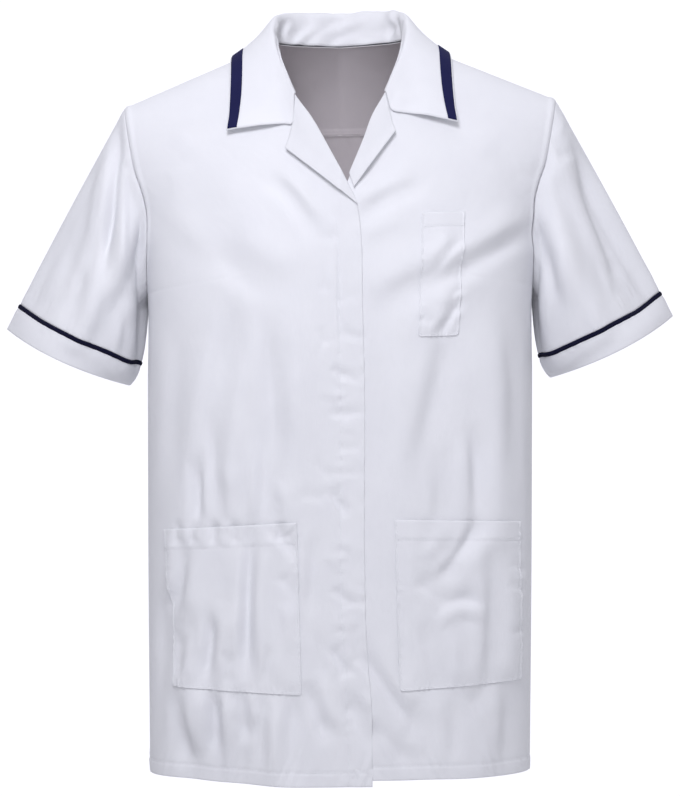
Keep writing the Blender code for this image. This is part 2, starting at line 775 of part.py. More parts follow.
def lift_clear(points, samples, clear):
    """Points moved out where they lie closer than the wanted clearance to the shell."""
    flat = points.reshape(-1, 3).copy()
    for _ in range(3):
        gaps = np.linalg.norm(flat[:, None] - samples[0][None], axis=2)
        nearest = gaps.argmin(axis=1)
        height = np.einsum("ij,ij->i", flat - samples[0][nearest], samples[1][nearest])
        wanted = clear + RIDGE_CLEAR * np.exp(-(flat[:, 1] / RIDGE_REACH) ** 2)
        push = np.maximum(wanted - height, 0.0)
        flat += samples[1][nearest] * push[:, None]
    return flat.reshape(points.shape)


def surface_front(across, height, out):
    """Points on the plain front shell, moved out by a height along its normal."""
    step = 0.001
    across = np.asarray(across, float)
    height = np.asarray(height, float)
    point = shell_points(FRONT, across, height)
    side = shell_points(FRONT, across + step, height) - point
    down = shell_points(FRONT, across, height - step) - point
    normal = unit(np.cross(side, down))
    normal = np.where(normal[..., 1:2] > 0, -normal, normal)
    return point + normal * np.asarray(out, float)[..., None], normal


def bezier(start, first, second, end, share):
    """Cubic curve through its end points, shaped by two handles."""
    share = share[:, None]
    return ((1 - share) ** 3 * start + 3 * share * (1 - share) ** 2 * first
            + 3 * share ** 2 * (1 - share) * second + share ** 3 * end)


def collar_half(hand, samples):
    """Underside grid of half the collar: rows from centre back to the gorge, columns from the
    neck seam over the roll to the outer edge."""
    table = np.array(COLLAR_STATIONS)
    places = np.linspace(0.0, 1.0, len(table))
    wanted = np.linspace(0.0, 1.0, COLLAR_COLUMNS + 1)
    rows = along(places, table, wanted)
    roll = rows[:, 0:3]
    travel = unit(np.gradient(roll, axis=0))
    drop = rows[:, 5] ** 2
    side = np.where(rows[:, 5] > 0, BACK, FRONT)
    reach = rows[:, 4] * (1 + (COLLAR_POINT[hand][0] / COLLAR_STATIONS[-1][4] - 1) * wanted ** 2)
    edge_height = shoulder_height(reach) - drop
    edge = np.array([
        shell_points(int(turn), np.array(x), np.array(z)) for turn, x, z in zip(side, reach, edge_height)
    ])
    edge = lift_clear(edge, samples, COLLAR_CLEAR)
    neck = neck_line(hand, rows[:, 3], wanted)
    grid = []
    for seam, crest, tip, forward in zip(neck, roll, edge, travel):
        up = unit(2 * crest - seam - tip)
        sideways = unit(np.cross(forward, up))
        if np.dot(sideways, tip - seam) < 0:
            sideways = -sideways
        base = crest - CLOTH * up
        turn = min(COLLAR_ROLL, ROLL_SHARE * np.linalg.norm(base - seam))
        stand = bezier(seam, seam + 0.5 * (base - seam), base - turn * sideways, base,
                       np.linspace(0.0, 1.0, STAND_STEPS + 1))
        length = np.linalg.norm(tip - base)
        inner = 1 - (TRIM_INSET + TRIM_WIDTH) / length
        shares = [step * inner for step in FALL_STEPS] + [inner, 1 - TRIM_INSET / length, 1.0]
        fall = bezier(base, base + turn * sideways, tip + 0.5 * (base - tip) + FALL_BELLY * up, tip,
                      np.array(shares))
        grid.append(np.concatenate([stand, fall]))
    grid = np.array(grid)
    end = collar_end(hand, grid[-1, STAND_STEPS:])
    pull = ease(END_START, 1.0, wanted)[:, None, None] ** END_POWER
    grid[:, STAND_STEPS:] += pull * (end - grid[-1, STAND_STEPS:])[None]
    grid[:, STAND_STEPS + 1:] = lift_clear(grid[:, STAND_STEPS + 1:], samples, COLLAR_CLEAR)
    grid[..., 0] *= hand
    return grid


def neck_line(hand, places, shares):
    """Neck seam: round the back neck, then down the roll line inside the front."""
    points = []
    for place, share in zip(places, shares):
        if share <= NECK_TURN:
            place = min(place, NECK_POINT)
            point = shell_points(BACK, np.array(place), np.array(BACK_NECK_HEIGHT))
            point = point + np.array(NECK_INSET_BACK)
        else:
            height = neck_height(share)
            across = -front_reach(hand, height)
            point = shell_points(FRONT, np.array(float(across)), np.array(height))
            point = point + np.array(NECK_INSET_FRONT)
        points.append(point)
    return np.array(points)


def neck_height(share):
    """Height of the neck seam at a share of the collar's length."""
    part = (share - NECK_TURN) / (1.0 - NECK_TURN)
    return BACK_NECK_HEIGHT + part ** NECK_SPACING * (GORGE_TOP[1] - BACK_NECK_HEIGHT)


def collar_end(hand, line):
    """End of the collar: down the gorge seam to the notch, then out to the collar point."""
    start = np.array(GORGE_TOP)
    notch = np.array(NOTCH[hand])
    point = np.array(COLLAR_POINT[hand])
    steps = np.linalg.norm(np.diff(line, axis=0), axis=1)
    share = np.concatenate([[0.0], np.cumsum(steps)])
    first = np.linalg.norm(notch - start)
    whole = first + np.linalg.norm(point - notch)
    share *= (1 - (TRIM_INSET + TRIM_WIDTH) / whole) / share[-3]
    share[-2:] = (1 - TRIM_INSET / whole, 1.0)
    turn = first / whole
    nearest = np.abs(share - turn).argmin()
    share[nearest] = turn
    places = np.where(
        share[:, None] <= turn,
        start + (notch - start) * (share / turn)[:, None],
        notch + (point - notch) * ((share - turn) / (1 - turn))[:, None],
    )
    places[:, 0] += SEAM_GAP * (share <= turn)
    points, _ = surface_front(places[:, 0], places[:, 1], COLLAR_CLEAR)
    points[0] = line[0]
    return points


def build_collar(samples):
    """Collar in one piece round the neck, and the navy band along its outer edge."""
    left = collar_half(1, samples)
    right = collar_half(-1, samples)
    grid = np.concatenate([right[::-1], left[1:]])
    normals = grid_normals(grid)
    middle = len(grid) // 2
    if normals[middle, -1, 1] < 0:
        normals = -normals
    top = grid + CLOTH * normals
    add_wall("collar", top, grid, WHITE)
    band = top[:, -3:-1] + SEAM_GAP * normals[:, -3:-1]
    band[0] = band[0] + TRIM_END * (band[1] - band[0])
    band[-1] = band[-1] + TRIM_END * (band[-2] - band[-1])
    add_wall("collar_trim", band + TRIM * normals[:, -3:-1], band, NAVY)


def notch_pull(part, notch, corner):
    """How far the lapel's top edge bends in to pass through the notch."""
    start = np.array(GORGE_TOP)
    turn = (notch[1] - start[1]) / (corner[1] - start[1])
    straight = start[0] + turn * (corner[0] - start[0])
    bend = min(notch[0] - straight - NOTCH_GAP, 0.0)
    return bend * (part / turn if part < turn else (1.0 - part) / (1.0 - turn))


def build_lapel(hand, word):
    """Lapel: the facing turned over the roll line and laid on the front."""
    top_height = GORGE_TOP[1] - 3 * SEAM_GAP
    heights = np.linspace(top_height, LAPEL_ROLL_END[hand], LAPEL_ROWS + 1)
    share = np.linspace(0.0, 1.0, LAPEL_ROWS + 1)
    roll = -front_reach(hand, heights)
    notch = np.array(NOTCH[hand])
    corner = np.array(LAPEL_CORNER[hand])
    end = np.array(LAPEL_END[hand])
    edge = corner + (end - corner) * share[:, None]
    outer_rows = []
    inner_rows = []
    for height, across, tip, drop in zip(heights, roll, edge, share):
        place, normal = surface_front(np.array([across]), np.array([height]), np.array([0.0]))
        target, _ = surface_front(np.array([tip[0]]), np.array([tip[1]]), np.array([0.0]))
        outboard = target[0] - place[0]
        outboard = unit(outboard - normal[0] * np.dot(outboard, normal[0]))
        width = np.linalg.norm(target[0] - place[0])
        centre = place[0] + outboard * min(ROLL_RADIUS, NARROW_SHARE * width)
        outer = []
        inner = []
        for turn in np.radians(ROLL_TURNS):
            arm = -outboard * math.cos(turn) + normal[0] * math.sin(turn)
            outer.append(centre + ROLL_RADIUS * arm)
            inner.append(centre + (ROLL_RADIUS - CLOTH) * arm)
        for step in np.linspace(0.0, 1.0, LAPEL_COLUMNS + 1)[1:]:
            start = min(ROLL_RADIUS / max(width, 1e-6), NARROW_SHARE)
            part = start + step * (1.0 - start)
            spot = np.array([across, height]) + part * (tip - np.array([across, height]))
            spot[0] += notch_pull(part, notch, corner) * (1.0 - min(1.0, drop / NOTCH_FADE))
            lift = (ROLL_RADIUS - CLOTH) + (COLLAR_CLEAR - ROLL_RADIUS + CLOTH) * step
            base, _ = surface_front(spot[0:1], spot[1:2], np.array([lift]))
            cover, _ = surface_front(spot[0:1], spot[1:2], np.array([lift + CLOTH]))
            inner.append(base[0])
            outer.append(cover[0])
        outer_rows.append(outer)
        inner_rows.append(inner)
    outer = np.array(outer_rows)
    inner = np.array(inner_rows)
    outer[..., 0] *= hand
    inner[..., 0] *= hand
    add_wall("lapel_" + word, outer, inner, WHITE)


def pocket_places(plan):
    """Grid of places across and heights in a pocket's outline, its lower corners rounded."""
    top_left, top_right = np.array(plan["top"])
    bottom_left, bottom_right = np.array(plan["bottom"])
    depth = abs(top_left[1] - bottom_left[1])
    straight = np.linspace(0.0, depth - plan["round"], plan["rows"] - 1)
    turns = np.radians(CORNER_TURNS)
    downs = np.concatenate([straight[:-1], depth - plan["round"] * (1.0 - np.sin(turns))])
    insets = np.concatenate([np.zeros(len(straight) - 1), plan["round"] * (1.0 - np.cos(turns))])
    step = (downs / depth)[:, None, None]
    left = top_left + step * (bottom_left - top_left)
    right = top_right + step * (bottom_right - top_right)
    inset = insets[:, None] / (right[..., 0] - left[..., 0])
    shares = inset + np.linspace(0.0, 1.0, plan["columns"] + 1) * (1.0 - 2.0 * inset)
    return left + shares[..., None] * (right - left)


def on_panel(panel, places):
    """Points of a front's own surface at given places across and heights."""
    grid = panel[:, ::-1] if panel[0, 0, 0] > panel[0, -1, 0] else panel
    flat = places.reshape(-1, 2)
    result = []
    for across, height in flat:
        line = np.array([
            [np.interp(across, row[:, 0], row[:, 2]), np.interp(across, row[:, 0], row[:, 1])]
            for row in grid
        ])
        result.append([across, np.interp(-height, -line[:, 0], line[:, 1]), height])
    return np.array(result).reshape(places.shape[:-1] + (3,))


def build_pocket(name, plan, fronts):
    """Patch pocket made from the points of the front that it lies on, moved out."""
    hand = 1 if plan["top"][0][0] > 0 else -1
    grid = on_panel(fronts[hand][0], pocket_places(plan))
    normals = outward(grid, FRONT)
    grid = grid + POCKET_CLEAR * normals
    add_wall(name, grid + CLOTH * normals, grid, WHITE)


def main():
    """Build every piece of the tunic."""
    clear_scene()
    fronts = build_fronts()
    yoke, back = build_back()
    for hand, word in ((-1, "right"), (1, "left")):
        build_sleeve(hand, word, fronts[hand], yoke, back)
    samples = body_samples()
    build_collar(samples)
    for hand, word in ((-1, "right"), (1, "left")):
        build_lapel(hand, word)
    for name, plan in POCKETS.items():
        build_pocket(name, plan, fronts)


main()
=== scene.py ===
"""Looks of the medical tunic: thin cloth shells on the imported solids, with creases, stitching and finishes.

Metres, +Z up, the front faces -Y. Left and right in names are the wearer's, so right is at -X.
Creases are given in millimetres, as they are seen from the front.
"""
import logging
from dataclasses import dataclass, field
from enum import Enum, IntEnum
from typing import Callable, Iterable, Sequence

import bpy
import numpy as np
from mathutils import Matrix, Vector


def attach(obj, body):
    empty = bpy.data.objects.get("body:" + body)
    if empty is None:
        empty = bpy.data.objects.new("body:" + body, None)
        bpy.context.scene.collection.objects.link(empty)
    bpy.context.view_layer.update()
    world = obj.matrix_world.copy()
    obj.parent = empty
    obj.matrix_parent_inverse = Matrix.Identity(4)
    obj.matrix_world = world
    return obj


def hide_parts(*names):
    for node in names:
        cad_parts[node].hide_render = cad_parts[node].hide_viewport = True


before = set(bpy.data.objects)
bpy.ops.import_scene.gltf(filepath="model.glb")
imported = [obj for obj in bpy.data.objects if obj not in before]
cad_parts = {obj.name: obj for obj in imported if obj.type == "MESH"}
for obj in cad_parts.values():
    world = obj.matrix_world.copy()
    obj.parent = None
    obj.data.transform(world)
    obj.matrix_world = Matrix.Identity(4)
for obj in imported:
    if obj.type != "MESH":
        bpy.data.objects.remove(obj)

log = logging.getLogger("medical_tunic")

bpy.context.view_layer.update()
BODY = "root"
MM = 0.001

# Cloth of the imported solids, which the shells follow
CLOTH = 0.0012
SEAM_GAP = 0.0003

# Shoulder ridge, seams and hem
NECK_HALF_WIDTH = 0.065
NECK_POINT = 0.066
SHOULDER_TOP = 0.0035
SHOULDER_FALL = 0.4127
SHOULDER_SEAM_END = -0.058
BACK_NECK_HEIGHT = 0.003
YOKE_SEAM = -0.085
ARMPIT = -0.255
SIDE_HALF_WIDTH = 0.1975
HEM = -0.7435
ROUNDNESS = 2.6
LEAN_TOP = 0.02
LEAN_HEM = 0.007
FRONT_DROP = 0.006
BREAK_HEIGHT = -0.1713
ROLL_SETBACK = 0.0019
LAP_FULL = 0.036
LAP_END = 0.062
SLANT_FULL = 0.05
SLANT_END = 0.3

# Turned hem of the body, grooves at seams, and how far creases are drawn
HEM_ZONE = 0.022
HEM_STITCH = 0.014
SEAM_DIP = 0.0004
SEAM_REACH = 0.0018
STITCH_REACH = 0.0016

# Height, half width of the shell
BODY_WIDTH = (
    (0.04, 0.3), (-0.058, 0.278), (-0.09, 0.2553), (-0.11, 0.2412), (-0.13, 0.2297), (-0.15, 0.2172),
    (-0.165, 0.21), (-0.2, 0.2036), (-0.23, 0.1995), (-0.255, 0.1975), (-0.35, 0.1972), (-0.55, 0.1965),
    (-0.748, 0.1947),
)

# Height, half width at the armhole seam
ARMHOLE = (
    (-0.058, 0.2225), (-0.09, 0.217), (-0.11, 0.2135), (-0.13, 0.209), (-0.15, 0.202), (-0.165, 0.198),
    (-0.2, 0.1965), (-0.23, 0.197), (-0.255, 0.1975),
)

# Drop below the shoulder ridge, depth of the front, depth of the back
SHELL_DEPTH = (
    (0.0, 0.0, 0.0), (0.01, 0.03, 0.034), (0.02, 0.041, 0.048), (0.04, 0.055, 0.068), (0.07, 0.07, 0.088),
    (0.1, 0.085, 0.1), (0.14, 0.102, 0.108), (0.18, 0.115, 0.11), (0.22, 0.122, 0.108), (0.3, 0.126, 0.104),
    (0.45, 0.124, 0.102), (0.6, 0.124, 0.107), (0.76, 0.126, 0.112),
)

# Height, reach past the centre of the front that laps over, and of the one that runs under
OVER_EDGE = (
    (0.0035, -0.066), (-0.008, -0.0635), (-0.038, -0.053), (-0.056, -0.0455), (-0.0812, -0.0285),
    (-0.1159, -0.0097), (-0.1438, 0.0048), (-0.1713, 0.017), (-0.197, 0.0205), (-0.267, 0.0224),
    (-0.345, 0.0243), (-0.52, 0.0246), (-0.603, 0.0264), (-0.664, 0.031), (-0.76, 0.0324),
)
UNDER_EDGE = (
    (0.0035, -0.066), (-0.008, -0.0635), (-0.038, -0.053), (-0.056, -0.0455), (-0.0812, -0.0318),
    (-0.1033, -0.0238), (-0.1445, -0.0071), (-0.1713, 0.0035), (-0.21, 0.018), (-0.76, 0.018),
)

# Broad folds of the solids: across, top, bottom, width, height out (troughs negative), lean
FRONT_FOLDS = (
    (0.16, -0.165, -0.3, 0.026, 0.0028, -0.6), (-0.12, -0.12, -0.3, 0.028, 0.0028, 0.3),
    (-0.085, -0.3, -0.56, 0.024, -0.003, -0.06), (-0.05, -0.28, -0.54, 0.024, 0.0026, 0.04),
    (-0.13, -0.33, -0.5, 0.026, 0.0026, -0.1), (0.078, -0.33, -0.52, 0.026, 0.0024, -0.05),
    (0.115, -0.34, -0.5, 0.024, -0.0024, 0.03), (0.15, -0.3, -0.56, 0.024, 0.0024, 0.02),
    (-0.158, -0.69, -0.86, 0.022, -0.0045, 0.02), (-0.128, -0.69, -0.86, 0.02, 0.003, 0.02),
    (-0.096, -0.69, -0.86, 0.022, -0.0045, 0.03), (-0.062, -0.69, -0.86, 0.022, 0.003, 0.1),
    (0.09, -0.69, -0.86, 0.024, -0.003, 0.0), (0.125, -0.69, -0.86, 0.024, 0.0035, 0.0),
)
BACK_FOLDS = (
    (0.06, -0.15, -0.42, 0.024, 0.0035, 0.1), (-0.07, -0.17, -0.46, 0.024, 0.0035, -0.12),
    (0.0, -0.24, -0.62, 0.022, -0.003, 0.02), (0.12, -0.26, -0.56, 0.02, -0.003, -0.05),
    (-0.125, -0.24, -0.6, 0.02, -0.003, 0.05), (0.09, -0.52, -0.82, 0.02, 0.0045, 0.02),
    (-0.05, -0.54, -0.82, 0.022, 0.0045, -0.03), (0.03, -0.58, -0.82, 0.018, -0.004, 0.0),
    (-0.11, -0.6, -0.82, 0.018, -0.004, 0.02), (0.15, -0.58, -0.82, 0.016, -0.003, 0.0),
)
FOLD_FADE = 0.035
SIDE_QUIET = 0.15

Array = np.ndarray
Pair = tuple[Array, Array]
Place = tuple[float, float]
Colour = tuple[float, float, float]
Item = bpy.types.Object
Finish = bpy.types.Material
Socket = bpy.types.NodeSocket
join = np.concatenate


class Hand(IntEnum):
    """Wearer's hand, as the sign of X."""

    RIGHT = -1
    LEFT = 1

    @property
    def word(self) -> str:
        """Name of the side."""
        return self.name.lower()


class Side(IntEnum):
    """Front or back of the body shell, as the sign of Y."""

    FRONT = -1
    BACK = 1


class Hold(Enum):
    """How a cut piece of cloth is held."""

    HUNG = "hung"
    FOLDED = "folded"


def unit(vectors: Array) -> Array:
    """Scale vectors to length one, each divided by its own length."""
    length = np.linalg.norm(vectors, axis=-1, keepdims=True)
    return vectors / np.maximum(length, 1e-12)


def ease(start: float, end: float, value: Array) -> Array:
    """Rise smoothly from zero at start to one at end: three times the square less twice the cube."""
    share = np.clip((value - start) / (end - start), 0.0, 1.0)
    return share * share * (3.0 - 2.0 * share)


def even(count: int) -> Array:
    """Even shares from zero to one, with a number of steps."""
    return np.linspace(0.0, 1.0, count + 1)


def hump(value: Array) -> Array:
    """Return the bell curve e to the minus value squared."""
    return np.exp(-value * value)


def curve_through(places: Array, values: Array, wanted: Array) -> Array:
    """Read a smooth cubic curve through values at rising places.

    Args:
        places: Rising places along the curve.
        values: Values there, on the first axis.
        wanted: Places to read.

    Returns:
        Values at the wanted places, each span a cubic with its ends' mean slopes.
    """
    places = np.asarray(places, float)
    values = np.asarray(values, float)
    slopes = np.gradient(values, places, axis=0)
    wanted = np.clip(np.asarray(wanted, float), places[0], places[-1])
    cell = np.clip(np.searchsorted(places, wanted) - 1, 0, len(places) - 2)
    shape = wanted.shape + (1,) * (values.ndim - 1)
    width = (places[cell + 1] - places[cell]).reshape(shape)
    part = (wanted - places[cell]).reshape(shape) / width
    first = values[cell] * (1 + 2 * part) * (1 - part) ** 2
    last = values[cell + 1] * part ** 2 * (3 - 2 * part)
    start = slopes[cell] * width * part * (1 - part) ** 2
    stop = slopes[cell + 1] * width * part ** 2 * (part - 1)
    return first + last + start + stop


def by_height(table: Sequence[Sequence[float]], height: Array) -> Array:
    """Read the second column of a table whose first column is a falling height."""
    rows = np.array(table)
    return curve_through(-rows[:, 0], rows[:, 1], -np.asarray(height, float))


def row_lengths(points: Array) -> Array:
    """Length along each row of points, from zero at its start."""
    steps = np.linalg.norm(np.diff(points, axis=1), axis=2)
    return join([np.zeros((len(points), 1)), np.cumsum(steps, axis=1)], axis=1)


def read_rows(lengths: Array, points: Array, wanted: Array) -> Array:
    """Read points along each row, by straight steps between the row's own points.

    All rows are laid end to end on one line, so that one reading serves them all.

    Args:
        lengths: Length along each row at its points.
        points: Points of each row.
        wanted: Lengths to read in each row.

    Returns:
        Points, one row for each row.
    """
    offset = (np.arange(len(points)) * (lengths.max() + 1.0))[:, None]
    line = (lengths + offset).ravel()
    spots = (np.clip(wanted, 0.0, lengths[:, -1:]) + offset).ravel()
    parts = [np.interp(spots, line, points[..., axis].ravel()) for axis in range(points.shape[2])]
    return np.stack(parts, axis=-1).reshape(len(points), -1, points.shape[2])


def grid_normals(grid: Array, ring: bool = False) -> Array:
    """Unit normals of a grid, from the cross product of its two directions.

    Args:
        grid: Points, rows by columns.
        ring: Whether each row closes on itself.

    Returns:
        Normals, rows by columns.
    """
    down = np.gradient(grid, axis=0)
    if ring:
        wrapped = join([grid[:, -1:], grid, grid[:, :1]], axis=1)
        over = np.gradient(wrapped, axis=1)[:, 1:-1]
    else:
        over = np.gradient(grid, axis=1)
    return unit(np.cross(down, over))


def outward(grid: Array, side: Side) -> Array:
    """Normals of a body panel, turned away from the middle of the garment."""
    normals = grid_normals(grid)
    return -normals if normals[len(grid) // 2, grid.shape[1] // 2, 1] * side < 0 else normals


def ring_outward(grid: Array) -> Array:
    """Normals of a tube of rings, turned away from each ring's middle."""
    normals = grid_normals(grid, ring=True)
    return -normals if np.sum(normals * (grid - grid.mean(axis=1, keepdims=True))) < 0 else normals


def squared(normals: Array, rows: slice | int | Array, columns: slice | int | Array, axis: int) -> None:
    """Take one axis out of the normals along an edge, so that two panels meet squarely there."""
    normals[rows, columns, axis] = 0.0
    normals[rows, columns] = unit(normals[rows, columns])


def refined(grid: Array, row_cuts: Sequence[int], column_cuts: Sequence[int]) -> Array:
    """Lay a finer grid on smooth curves through the points of a coarse one.

    Args:
        grid: Coarse points.
        row_cuts: Parts to cut each span between rows into.
        column_cuts: The same between columns.

    Returns:
        Fine points, which pass through the coarse ones.
    """
    for axis, cuts in ((0, row_cuts), (1, column_cuts)):
        turned = np.moveaxis(grid, axis, 0)
        steps = np.linalg.norm(np.diff(turned, axis=0), axis=-1).mean(axis=1)
        places = join([[0.0], np.cumsum(steps)])
        spans = [np.linspace(places[k], places[k + 1], cut + 1)[1:] for k, cut in enumerate(cuts)]
        wanted = join([[0.0]] + spans)
        grid = np.moveaxis(curve_through(places, turned, wanted), 0, axis)
    return grid


def on_grid(grid: Array, rows: Array, columns: Array) -> Array:
    """Read a grid at fractional rows and columns, by the weights of the four points around each.

    Args:
        grid: Points or normals.
        rows: Fractional rows.
        columns: Fractional columns.

    Returns:
        What the grid has there.
    """
    low_row = np.clip(np.floor(rows).astype(int), 0, grid.shape[0] - 2)
    low_column = np.clip(np.floor(columns).astype(int), 0, grid.shape[1] - 2)
    down = (rows - low_row)[:, None]
    over = (columns - low_column)[:, None]
    near = grid[low_row, low_column] * (1 - over) + grid[low_row, low_column + 1] * over
    far = grid[low_row + 1, low_column] * (1 - over) + grid[low_row + 1, low_column + 1] * over
    return near * (1 - down) + far * down


@dataclass(frozen=True)
class Viewpoint:
    """Place from which the photograph was taken, and the plane in which creases are measured."""

    distance: float = 3.3
    height: float = -0.364
    plane: float = -0.118
    lens: float = 145.0
    sensor: float = 36.0

    def seen(self, points: Array) -> Pair:
        """Places across and heights in millimetres, where sight lines meet the measuring plane.

        Args:
            points: Points of the garment.

        Returns:
            Place across and height of each point.
        """
        scale = (self.distance + self.plane) / (self.distance + points[..., 1])
        across = points[..., 0] * scale
        height = self.height + (points[..., 2] - self.height) * scale
        return across / MM, height / MM


@dataclass(frozen=True)
class Crease:
    """One soft crease along a bowed line, in millimetres: a trough where its height is negative."""

    x0: float
    z0: float
    x1: float
    z1: float
    width: float
    height: float
    bow: float = 0.0
    skew: float = 0.25

    def rise(self, x: Array, z: Array) -> Array:
        """Height of the crease at each place.

        Across the line it is a bell with a low return on both sides, steeper on one. Along the line it
        swells and fades, and it widens as it fades.

        Args:
            x: Places across, in millimetres.
            z: Heights, in millimetres.

        Returns:
            Heights out, in millimetres.
        """
        run = np.array([self.x1 - self.x0, self.z1 - self.z0])
        length = float(np.hypot(run[0], run[1]))
        part = ((x - self.x0) * run[0] + (z - self.z0) * run[1]) / length ** 2
        inside = np.clip(part, 0.0, 1.0)
        aside = ((x - self.x0) * run[1] - (z - self.z0) * run[0]) / length
        aside = aside - self.bow * 4.0 * inside * (1.0 - inside)
        width = self.width * (1.0 + 0.5 * (2.0 * inside - 1.0) ** 2)
        place = aside / width
        place = place * (1.0 + self.skew * np.tanh(place))
        shape = (1.0 - 0.45 * place ** 2) * np.exp(-0.5 * place ** 2)
        fade = ease(-0.2, 0.3, part) * (1.0 - ease(0.7, 1.2, part))
        swell = 1.0 + 0.18 * np.sin(5.0 * inside + 0.1 * self.x0)
        return self.height * shape * fade * swell


def creases(*rows: Sequence[float]) -> tuple[Crease, ...]:
    """Creases from rows of numbers, in the order of the fields of a crease."""
    return tuple(Crease(*row) for row in rows)


def groove(distance: Array) -> Array:
    """Height of the groove along a seam, at distances from it."""
    return -SEAM_DIP * hump(distance / SEAM_REACH)


def hem_relief(from_hem: Array) -> Array:
    """Height at the turned hem: a groove at its stitching and a small step up below."""
    step = 1.0 - ease(HEM_STITCH - 0.003, HEM_STITCH, from_hem)
    return 0.0003 * step - 0.0005 * hump((from_hem - HEM_STITCH) / STITCH_REACH)


def total_rise(creases: Iterable[Crease], x: Array, z: Array) -> Array:
    """Sum of the heights of many creases, in metres."""
    return sum((crease.rise(x, z) for crease in creases), np.zeros(np.shape(x))) * MM


def puckers(run: Array, away: Array, pitch: float, height: float, reach: float, phase: float) -> Array:
    """Small ripples where a seam draws the cloth in.

    Along the seam it is a sine whose phase and height wander by slower sines, so that no two ripples are
    alike. Away from the seam it fades as a bell of uneven reach.

    Args:
        run: Distance along the seam.
        away: Distance from the seam.
        pitch: Mean distance between ripples.
        height: Largest height.
        reach: How far the ripples run from the seam.
        phase: Start of the pattern, different on each seam.

    Returns:
        Heights out.
    """
    turn = 2 * np.pi * run / pitch
    wander = 1.3 * np.sin(turn / 3.7 + phase) + 0.9 * np.sin(turn / 7.3 + 2.1 * phase)
    size = 0.55 + 0.45 * np.sin(turn / 5.3 + 1.7 * phase)
    length = reach * (0.75 + 0.35 * np.sin(turn / 2.9 + 0.6 * phase))
    return height * size * np.sin(turn + wander) * hump(away / length)


VIEW = Viewpoint()

# Creases of the fronts and of what lies on them, measured on the photograph. Every row of these tables
# gives the place across and the height of both ends, the width, the height out, the bow and the skew.
POCKET_RIGHT_CREASES = creases(
    (-87, -488, -92, -642, 6, -8.1, 3), (-76, -500, -80, -630, 8, 4.1, 3), (-103, -520, -106, -612, 10, 3.2),
    (-127, -580, -135, -648, 5.5, -6.2), (-117, -575, -121, -640, 7, 3.5),
    (-153, -510, -166, -572, 6, -5.4, -2), (-143, -520, -152, -580, 8, 3), (-166, -500, -170, -560, 5, 2.2),
    (-66, -494, -44, -521, 6, -3.2), (-52, -498, -44, -508, 5, -1.6), (-52, -570, -50, -612, 7, 2.7),
    (-58, -540, -46, -560, 6, -1.8), (-147, -600, -152, -645, 6, 2.7), (-158, -600, -161, -640, 5, -2.7),
    (-160, -487, -161, -509, 3.4, -2.3), (-146, -487, -147, -510, 3.4, -2.6), (-126, -487, -127, -510, 3.6, -3),
    (-116, -487, -117, -508, 3.6, 1.6), (-105, -487, -105, -509, 3.4, -2.2), (-60, -487, -60, -508, 3.6, -2),
    (-70, -610, -74, -648, 4.6, -2.4), (-110, -618, -112, -648, 4.6, -2.2),
)
POCKET_LEFT_CREASES = creases(
    (137, -488, 97, -546, 6.5, -5.3, -3), (152, -494, 112, -534, 9, 3), (104, -492, 88, -524, 9, 2.1),
    (97, -573, 138, -566, 5.5, -3.7, -5), (98, -585, 140, -578, 7, 2.1, -5), (78, -545, 102, -566, 6.5, -2.5),
    (150, -515, 148, -655, 8, -4.4), (138, -520, 136, -640, 10, 2.5), (166, -530, 169, -640, 8, 2.3),
    (70, -500, 70, -600, 9, 1.7), (80, -592, 98, -648, 7, -2.2), (112, -600, 116, -650, 7, 2),
    (62, -560, 66, -640, 6, -1.4), (166, -528, 180, -536, 4, -1.4), (164, -548, 180, -554, 4, -1.4),
    (166, -598, 180, -592, 4, -1.5),
)
LOWER_CREASES = creases(
    (-176, -560, -172, -716, 9, -5.4, 2), (-160, -655, -157, -722, 7.5, -7.3, 2),
    (-180, -672, -84, -678, 30, 11, 0, 0), (-126, -640, -122, -800, 36, -9.5, 0, 0),
    (178, -300, 180, -640, 32, 4.6, 0, 0), (-147, -656, -147, -722, 6, 3.8),
    (-128, -655, -131, -716, 6, -8.1, -2), (-114, -656, -113, -736, 6.5, 4.3),
    (-100, -655, -95, -700, 5.5, -5.7), (-109, -656, -104, -690, 4, -2.4), (-90, -656, -83, -684, 5, 2.7),
    (-78, -660, -80, -728, 7, -3), (-66, -664, -68, -736, 7, 4.1), (-46, -658, -51, -738, 10, -5.9),
    (-31, -650, -14, -698, 6.5, -4.9, 2), (-20, -640, -2, -690, 7, 2.3, 2), (7, -662, 31, -709, 8, -4.4, 2),
    (22, -612, 73, -690, 6.5, -4.6, 3), (34, -612, 80, -676, 8, 2.5, 3), (38, -686, 68, -730, 7, -3.4),
    (20, -650, 52, -712, 7, 2.5), (95, -662, 100, -738, 10, 2.8), (112, -662, 114, -725, 8, -2.3),
    (130, -656, 150, -690, 7, -3), (144, -662, 146, -735, 9, 2.5), (168, -640, 166, -730, 8, -3.4),
    (78, -660, 70, -704, 7, -2.1),
)
